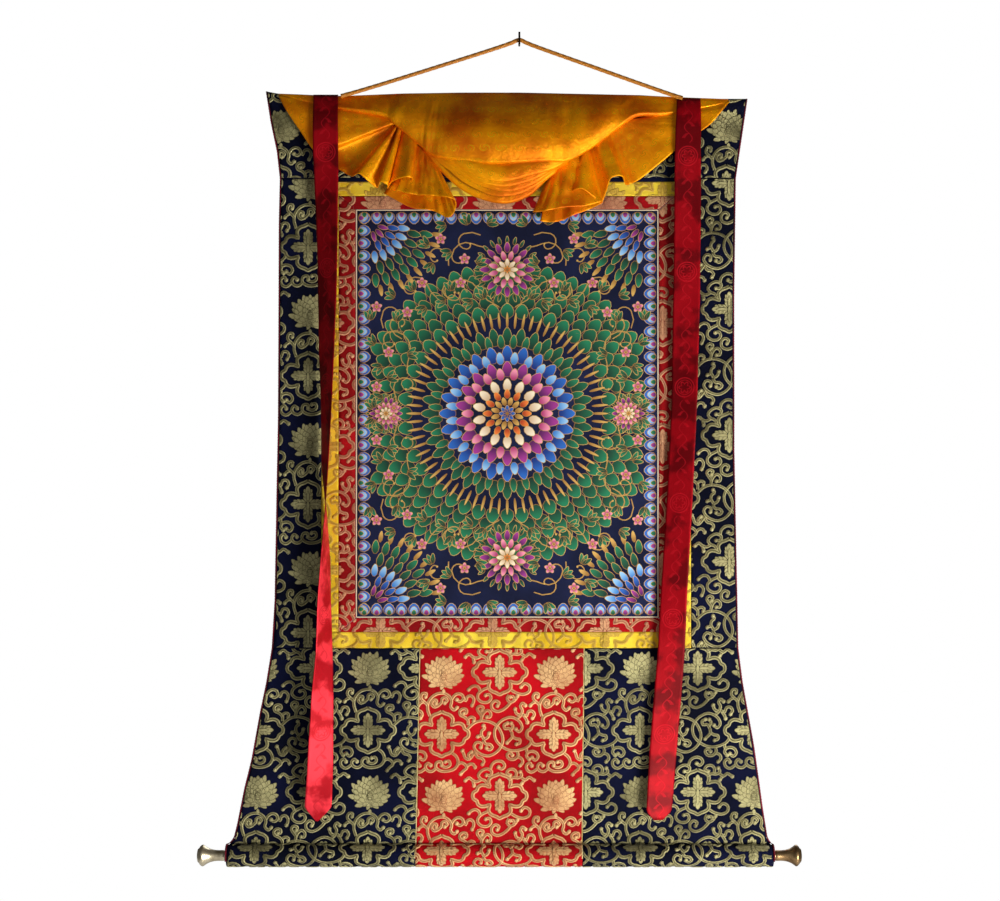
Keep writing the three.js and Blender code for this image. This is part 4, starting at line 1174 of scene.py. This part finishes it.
def makePicture():
    pen = Pen(shaded=True)
    halfX, halfZ = picture["half"]

    def inField(x, z):
        return abs(x) < halfX - picture["fieldInset"]

    inset = picture["edgeInset"]
    paintScallops(pen, halfX - inset, halfZ - inset, picture["scallopPitch"])
    for flipX in (1, -1):
        for flipZ in (1, -1):
            paintQuarter(pen, flipX, flipZ)
    paintRing(pen, 0, 0, greenField, inField)
    for z in (picture["above"], -picture["above"]):
        paintRing(pen, 0, z, smallRosette)
    nearer, shorter, slimmer = picture["besideSize"]
    sideRosette = [(count, inner * nearer, length * shorter, width * slimmer, *rest)
                   for count, inner, length, width, *rest in smallRosette]
    for x in (picture["beside"], -picture["beside"]):
        paintRing(pen, x, 0, sideRosette)
    paintRing(pen, 0, 0, mandala)
    pen.fill = 1
    inset, width, lift = picture["line"]
    paintLine(pen, halfX - inset, halfZ - inset, width, lift)
    middleX, middleZ = picture["centre"]
    for vert in pen.whole.verts:
        x = min(max(vert.co.x, -halfX), halfX) + middleX
        z = min(max(vert.co.z, -halfZ), halfZ) + middleZ
        vert.co = spot(x, frontDepth(x, z) - vert.co.y * 0.5, z)
    print("   painted relief", len(pen.whole.faces), "faces")
    finishPiece("painted_relief", pen.whole, paints, smooth=False)


makePicture()

print("stage: silk cover")

cover = {
    "thickness": 1.3, "topDepth": 12.8, "belowTop": 1.5, "nestedRise": 38, "nestedStepBack": 7, "tuck": 6,
    "tuckSlope": 0.7, "lipShare": 0.22, "swing": 0.64 * math.pi, "curl": math.pi * 0.9,
    "swagShade": (20, 32), "nestedShade": (3.5, 8),
}
# The swag's folds: x at the top edge, then x, z and depth at the hem
swagFolds = [
    (-361, -357.5, -80.3, 14.5), (-276.5, -261.5, -99.8, 20), (-201.5, -200, -111.8, 27),
    (-179, -185, -123.8, 31), (-143, -149, -154.5, 37), (-125, -132.5, -169.5, 40),
    (-104, -110, -175.5, 45), (-41, -41, -184.5, 53), (38.5, 41.5, -180.8, 50), (68.5, 70, -180, 44),
    (106, 107, -159.8, 37), (151, 154, -123.8, 30), (172, 175, -111, 26), (211, 217, -108, 22),
    (313, 313, -88.5, 14.5),
]
nestedHems = [  # the front one first
    [(-122, -171.8, 36), (-93.5, -186.6, 44), (-59, -205.5, 49), (-24.5, -212.3, 50), (16, -201.8, 48),
     (49, -192, 43), (73, -178.5, 37)],
    [(-128, -174, 33), (-96.5, -195, 39), (-59, -216, 43), (-20, -226.5, 44), (16, -216.8, 42),
     (43, -199.5, 38), (70, -181.5, 33)],
    [(-143, -163.5, 30), (-117.5, -192, 33), (-87.5, -219, 36), (-57.5, -235.5, 38), (-20, -242.7, 38.5),
     (13, -231, 37), (38.5, -208.5, 34), (61, -186, 30)],
]
leftFan = [
    (-200, -108, 20, -361.3, -77.3, 14.5), (-195.5, -112.5, 22, -350, -99, 22),
    (-192.5, -117, 24, -329, -130.5, 24), (-190.3, -120.8, 25, -305, -165, 26),
    (-190.3, -123, 20, -297.5, -169.5, 17), (-190.3, -125.3, 19, -267.5, -190.5, 16),
    (-189.5, -127.5, 21, -251, -199.5, 22), (-187.3, -129, 26, -239, -198, 38),
    (-185, -129.8, 25, -225.5, -208.5, 34), (-184.3, -131.3, 20, -213.5, -216.8, 20),
    (-180.5, -129, 28, -206, -210.8, 42), (-177.5, -132, 27, -197, -214.5, 40),
    (-176.8, -135, 21, -197, -219, 24), (-173, -138, 25, -191, -210, 32), (-161, -144, 31, -167, -204, 46),
    (-153.5, -153, 30, -160.3, -205.5, 41), (-153.5, -157.5, 21, -162.5, -211.5, 25),
]
leftTube = [
    (-158, -154.5, 24, -184.3, -222, 33), (-150.5, -160.5, 28, -162.5, -228, 37),
    (-141.5, -168, 31, -138.5, -230.3, 40), (-131, -178.5, 32, -113, -233.3, 45),
    (-119, -192, 32, -95.8, -238.5, 44), (-117.5, -196.5, 28, -95.8, -252, 38),
    (-122, -195, 23, -105.5, -262.5, 30), (-131, -186, 20, -128, -252, 25),
    (-143, -174, 18, -161, -246.8, 22), (-155, -159, 17, -203, -225, 18),
]
rightTube = [
    (41.5, -205.5, 25, 19.8, -255, 33), (50.5, -199.5, 30, 38.5, -253.5, 40),
    (64, -189, 32, 65.5, -248.3, 40), (77.5, -181.5, 31, 98.5, -245.3, 34), (91, -174, 28, 124, -238.5, 28),
    (91, -177, 22, 121, -241.5, 22), (73, -189, 20, 79, -258.8, 20), (55, -201, 19, 55, -267.8, 19),
    (44.5, -207, 18.5, 31, -267, 19),
]
rightFan = [
    (86.5, -174, 24, 70, -228, 26), (92.5, -169.5, 30, 91, -220.5, 40), (100, -163.5, 29, 109, -231, 34),
    (104.5, -160.5, 22, 122.5, -238.5, 22), (109, -158.3, 26, 130, -222, 30),
    (116.5, -153, 32, 136, -205.5, 44), (127, -145.5, 31, 152.5, -202.5, 42),
    (133, -141.8, 26, 158.5, -213, 28), (137.5, -139.5, 21, 164.5, -211.5, 17),
    (145, -133.5, 22, 178, -205.5, 22), (155.5, -125.3, 24, 211, -180, 25),
    (164.5, -118.5, 25, 250, -147, 24), (172, -114.8, 24, 286, -121.5, 22),
    (178, -112.5, 22, 304, -100.5, 19), (182.5, -111, 20, 316, -86.3, 14.5),
]


def silkCrease(u, v, seed, wide):  # fine creases that run along the pull of the cloth
    long = noise.noise((u * wide, v * 1.6 + seed, seed))
    short = noise.noise((u * wide * 3.1, v * 3.4, seed + 5))
    return 1.5 * long + 0.6 * short


def addFoldedSheet(bm, mapping, folds, perFold, rows, seed, lip=0.0, belly=0.0, crease=1.0, pitch=26.0,
                   shaded=None):
    # folds are x, z, depth where each starts, then the same at its hem
    start = [Vector((ax, ad, az)) for ax, az, ad, bx, bz, bd in folds]
    hem = [Vector((bx, bd, bz)) for ax, az, ad, bx, bz, bd in folds]
    fold = bm.verts.layers.float["fold"]
    columns = (len(folds) - 1) * perFold
    made = bmesh.ops.create_grid(bm, x_segments=columns, y_segments=rows, size=0.5)
    width = sum((q - p).length for p, q in zip(hem, hem[1:]))
    tucked = 0 if lip else cover["tuck"]  # the pleats start behind the swag
    lipShare = cover["lipShare"] if lip else 0
    for vert in made["verts"]:
        u, v = vert.co.x + 0.5, 0.5 - vert.co.y
        a, b = curvePoint(start, u), curvePoint(hem, u)
        reach = math.hypot(b.x - a.x, b.z - a.z)
        a += (a - b) * (tucked / reach) - Vector((0, cover["tuckSlope"] * tucked, 0))
        reach += tucked
        radius = min(lip, reach / 4, max(0, (b.y - cover["topDepth"]) / 2))
        w = min(v / (1 - lipShare), 1)
        curl = cover["curl"] * max(0, v - 1 + lipShare) / lipShare if lip else 0
        out = (reach - radius) * w + radius * math.sin(curl)
        swing = w
        if lip:  # the low middle bellies out, the ends hang straight
            bulge = smoothStep(b.y, 24, 36)
            swing = bulge * math.sin(w * cover["swing"]) / math.sin(cover["swing"]) + (1 - bulge) * w ** 1.4
        depth = a.y + (b.y - a.y) * swing - radius * (1 - math.cos(curl))
        depth += belly * min(1, reach / 60) * math.sin(math.pi * w)
        free = math.sin(math.pi * min(max(u, 0), 1)) ** 0.35 * smoothStep(w, 0.02, 0.3)
        depth += crease * free * silkCrease(u, w, seed, width / pitch)
        vert.co = spot(a.x + (b.x - a.x) / reach * out, depth, a.z + (b.z - a.z) / reach * out)
        mapping[vert] = (u * width * mm, -v * reach * mm)
        # painted shade: 0 near the sheet's own hem, rising to 1 higher up, where the cloth lies in shade
        # under the fold in front of it
        vert[fold] = smoothStep((1 - w) * reach, *shaded) if shaded else 0


def drawChart(bm, place):  # place gives the chart's two lengths, in metres, for a vertex
    chart = bm.loops.layers.uv.new("silk")
    for face in bm.faces:
        for loop in face.loops:
            loop[chart].uv = place(loop.vert)


def makeCover():
    bm = bmesh.new()
    bm.verts.layers.float.new("fold")
    mapping = {}
    swag = [(x, lookUp(topLine, x) - cover["belowTop"], cover["topDepth"], *hem) for x, *hem in swagFolds]
    addFoldedSheet(bm, mapping, swag, 8, 60, 1.7, 5, 3, 1.5)
    between = [[tuple((p + q) / 2 for p, q in zip(*pair)) for pair in zip(a, b)]
               for a, b in zip(nestedHems, nestedHems[1:])]
    for index, hems in enumerate([nestedHems[0], between[0], nestedHems[1], between[1], nestedHems[2]]):
        hems = [(x, z + 3.5 * noise.noise((x / 34, 5.0 * index, 2.0)), d) for x, z, d in hems]
        band = [(x, z + cover["nestedRise"], d - cover["nestedStepBack"], x, z, d) for x, z, d in hems]
        shaded = cover["nestedShade"] if index else cover["swagShade"]
        addFoldedSheet(bm, mapping, band, 12, 34, 4.1 + index, 4.2, 1, 0.6, shaded=shaded)
    for seed, folds, crease, pitch in ((7.7, leftFan, 0.9, 26), (9.2, leftTube, 3.6, 12),
                                       (12.4, rightTube, 3.6, 12), (15.8, rightFan, 1.1, 20)):
        addFoldedSheet(bm, mapping, folds, 9, 36, seed, crease=crease, pitch=pitch)
    drawChart(bm, mapping.get)
    cloth = finishPiece("silk_cover_cloth", bm, [finish["silk"]], ["silk_cover"])
    thicken(cloth, cover["thickness"])


makeCover()

print("stage: ribbons")

ribbonSize = {
    "thickness": 1.1, "columns": 14, "rows": 200, "wander": 0.5, "loose": (20, 90), "width": 0.041, "hems": 6,
}
# Rows of each ribbon from the top: z, x, depth, turn about its length in degrees, width
leftRows = [
    (-76.8, -290, 14.9, 0, 37), (-85, -289.8, 18.6, 0, 37), (-95, -289.6, 24, 0, 37),
    (-107, -289.4, 29, 0, 37), (-122, -289.2, 32, 0, 37.5), (-159, -288.8, 33, 3, 37.8),
    (-196, -288, 32, 14, 38), (-234, -287.5, 31, 23, 38), (-309, -286.3, 32, 34.6, 38.2),
    (-384, -286.4, 33, 41.7, 38.5), (-459, -287.3, 34, 50.5, 38.7), (-534, -287.5, 35, 61, 39),
    (-639, -289.5, 36, 72, 39), (-706.5, -288.4, 36, 90, 39), (-774, -289, 36, 106.5, 39),
    (-834, -290.8, 35.5, 115, 39.5), (-909, -290.8, 35, 123.5, 39.5), (-969, -293.3, 34, 138, 40),
    (-1029, -295.3, 33, 147, 40), (-1089, -297.2, 32, 160, 40), (-1142, -300.2, 31, 176, 40),
    (-1162, -301.7, 31, 180, 4),
]
rightRows = [
    (-82.2, 253.5, 15.6, 0, 35.5), (-90, 253.2, 20.4, 0, 36), (-99, 252.8, 25, 0, 36.5),
    (-110, 252.4, 28.5, 0, 37), (-125, 252, 30.5, 0, 38), (-159, 251, 31, 0, 38.6), (-234, 251, 29, 5, 39.4),
    (-384, 249.4, 28, 10, 39.8), (-459, 247.6, 28, 19, 40), (-534, 246.1, 28, 24, 40),
    (-684, 239, 28, 22, 40), (-834, 230, 28, 16, 40), (-909, 226.6, 28, 4, 40.4), (-1059, 214.3, 28, -6, 41),
    (-1134, 209.2, 29, -14, 40.5), (-1148, 208.3, 29, -14, 39.5), (-1161, 207.2, 29, -14, 14),
]


def makeRibbon(name, rows, seed):
    top, drop = rows[0][0], rows[0][0] - rows[-1][0]
    columns = [[(row[0], row[column]) for row in rows] for column in (1, 2, 3, 4)]
    freeWidth = rows[5][4]
    bm = bmesh.new()
    bmesh.ops.create_grid(bm, x_segments=ribbonSize["columns"], y_segments=ribbonSize["rows"], size=0.5)
    drawChart(bm, lambda vert: (vert.co.x * freeWidth * mm, (0.5 - vert.co.y) * drop * mm))
    for vert in bm.verts:
        side = vert.co.x
        z = top + -drop * (0.5 - vert.co.y)
        x, depth, turn, width = (lookUp(column, z) for column in columns)
        loose = smoothStep(top - z, *ribbonSize["loose"])
        depth += loose * ribbonSize["wander"] * 2 * noise.noise((side * 1.5, z / 34, seed))
        width += loose * ribbonSize["wander"] * noise.noise((side, z / 22, seed + 4))
        turn = math.radians(turn)
        x += side * width * math.cos(turn)
        vert.co = spot(x, depth + side * width * math.sin(turn), z)
    sides = [finish["ribbon"], finish["ribbonReverse"]]
    ribbon = finishPiece(f"{name}_silk", bm, sides, [name])
    thicken(ribbon, ribbonSize["thickness"]).modifiers["wall"].material_offset = 1


makeRibbon("ribbon_left", leftRows, 2.5)
makeRibbon("ribbon_right", rightRows, 8.5)

print("stage: cord, edges and metal")

cordRoute = [
    (-267, -18.4, -79.2), (-258, -17.8, -76.6), (-246, -17, -73.2), (-130, -14, -37), (-14, -11.2, 1),
    (-5, -11, 4.9), (0, -11, 6.5), (5, -11, 4.7), (14, -11.2, 0.5), (120, -14, -38.2), (222, -17.4, -75),
    (234, -19.8, -79.4), (244, -21.4, -82.8),
]
cordSize = {
    "radius": 3.2, "strands": 3, "twist": 11, "steps": 420, "sides": 18, "valley": 0.86, "swell": 0.14,
}
piping = {
    "radius": 1.28, "ridge": 0.1, "sides": 12, "twist": 22, "outside": 1.1, "foot": -1197, "steps": 260,
    "onRoll": 0.4, "rollSteps": 14, "rollStart": 0.1, "rollStep": 0.14, "rollLift": 0.5,
}
knobSize = {"neck": 8, "gap": 0.3, "steps": 56}
# Outline of a knob: radius and place along its length, as shares of the neck's radius and the whole length
knobOutline = [
    (1, 0.01), (1.0, 0.05), (0.93, 0.065), (0.93, 0.08), (1.0, 0.1), (1.0, 0.16), (0.98, 0.25), (1.0, 0.35),
    (1.08, 0.45), (1.2, 0.54), (1.38, 0.62), (1.6, 0.69), (1.82, 0.745), (1.95, 0.78), (2.0, 0.805),
    (1.98, 0.83), (1.88, 0.86), (1.7, 0.895), (1.5, 0.92), (1.34, 0.935), (1.3, 0.955), (1.12, 0.978),
    (0.65, 0.994),
]


def sweepTube(name, points, outline, twist, material, replaced, about=(0, 1, 0)):
    # outline is a ring of (angle, radius); it turns by one full turn every `twist` millimetres
    bm = bmesh.new()
    crown = bm.verts.layers.float.new("crown")
    ring = bmesh.ops.create_circle(bm, cap_ends=False, segments=len(outline), radius=1)["verts"]
    first = edges = list(bm.edges)
    number = {vert: index for index, vert in enumerate(ring)}
    travelled = 0
    for step, point in enumerate(points):
        before, after = points[max(step - 1, 0)], points[min(step + 1, len(points) - 1)]
        forward = (after - before).normalized()
        side = forward.cross(Vector(about)).normalized()
        up = side.cross(forward)
        travelled += (point - before).length
        spin = 2 * math.pi * travelled / twist
        if step:
            made = bmesh.ops.extrude_edge_only(bm, edges=edges)["geom"]
            edges = only(bmesh.types.BMEdge, made)
            older, number = number, {}
            for vert in only(bmesh.types.BMVert, made):  # takes the number of the one that it came from
                nearby = [edge.other_vert(vert) for edge in vert.link_edges]
                number[vert] = [older[near] for near in nearby if near in older][0]
        for vert, index in number.items():
            angle, radius = outline[index]
            vert.co = (point + (side * math.cos(angle + spin) + up * math.sin(angle + spin)) * radius) * mm
            vert[crown] = radius
    for rim in (first, edges):
        bmesh.ops.contextual_create(bm, geom=rim)
    bmesh.ops.recalc_face_normals(bm, faces=bm.faces)
    return finishPiece(name, bm, [material], [replaced])


def makeCord():
    radius, strands, steps, sides = (cordSize[key] for key in ("radius", "strands", "steps", "sides"))
    knots = [Vector(point) for point in cordRoute]
    line = [curvePoint(knots, step / steps) for step in range(steps + 1)]
    ring = []
    for angle in [2 * math.pi * index / sides for index in range(sides)]:
        swell = cordSize["swell"] * abs(math.cos(strands * angle / 2)) ** 0.6
        ring.append((angle, radius * (cordSize["valley"] + swell)))
    tube = sweepTube("twisted_cord", line, ring, cordSize["twist"] * strands, finish["cord"],
                     "hanging_cord")


def makePiping(side, edge, outward, topZ, rollEnd):
    steps, sides = piping["steps"], piping["sides"]
    heights = [topZ + (piping["foot"] - topZ) * step / steps for step in range(steps + 1)]
    line = [Vector((edge(z) + outward * piping["outside"], -clothDepth(edge(z), z), z)) for z in heights]
    for step in range(piping["rollSteps"]):  # then over the roll, at its very end
        turn = piping["rollStart"] + piping["rollStep"] * step
        line.append(rollPoint(rollEnd + outward * piping["onRoll"], turn, piping["rollLift"]) / mm)
    ring = [(2 * math.pi * index / sides, piping["radius"] + piping["ridge"] * (index % 2))
            for index in range(sides)]
    sweepTube(f"edge_piping_{side}", line, ring, piping["twist"], finish["binding"],
              f"binding_{side}", (1, 0, 0))


def makeKnob(side, x, direction, length, material):
    bm = bmesh.new()
    profile = [(place * length, radius * knobSize["neck"]) for radius, place in knobOutline]
    start = [bm.verts.new((along, 0, radius)) for along, radius in [(0, 0), *profile, (length, 0)]]
    edges = [bm.edges.new(pair) for pair in zip(start, start[1:])]
    bmesh.ops.spin(bm, geom=start + edges, cent=(0, 0, 0), axis=(1, 0, 0), angle=2 * math.pi,
                   steps=knobSize["steps"], use_merge=True)
    bmesh.ops.remove_doubles(bm, verts=bm.verts, dist=0.001)
    for vert in bm.verts:
        vert.co = spot(x + direction * (knobSize["gap"] + vert.co.x), hang["rollDepth"] - vert.co.y,
                       vert.co.z + hang["foot"] + hang["rollRadius"])
    bmesh.ops.recalc_face_normals(bm, faces=bm.faces)
    finishPiece(f"knob_{side}_turned", bm, [material], [f"knob_{side}"])


leftEnd, rightEnd = hang["rollEnds"]
makeCord()
makePiping("left", leftAt, -1, topLine[0][1], leftEnd)
makePiping("right", rightAt, 1, topLine[-1][1], rightEnd)
makeKnob("left", leftEnd, -1, 44.5, finish["knobLeft"])
makeKnob("right", rightEnd, 1, 43, finish["knobRight"])
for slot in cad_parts["hook"].material_slots:
    slot.material = finish["hook"]
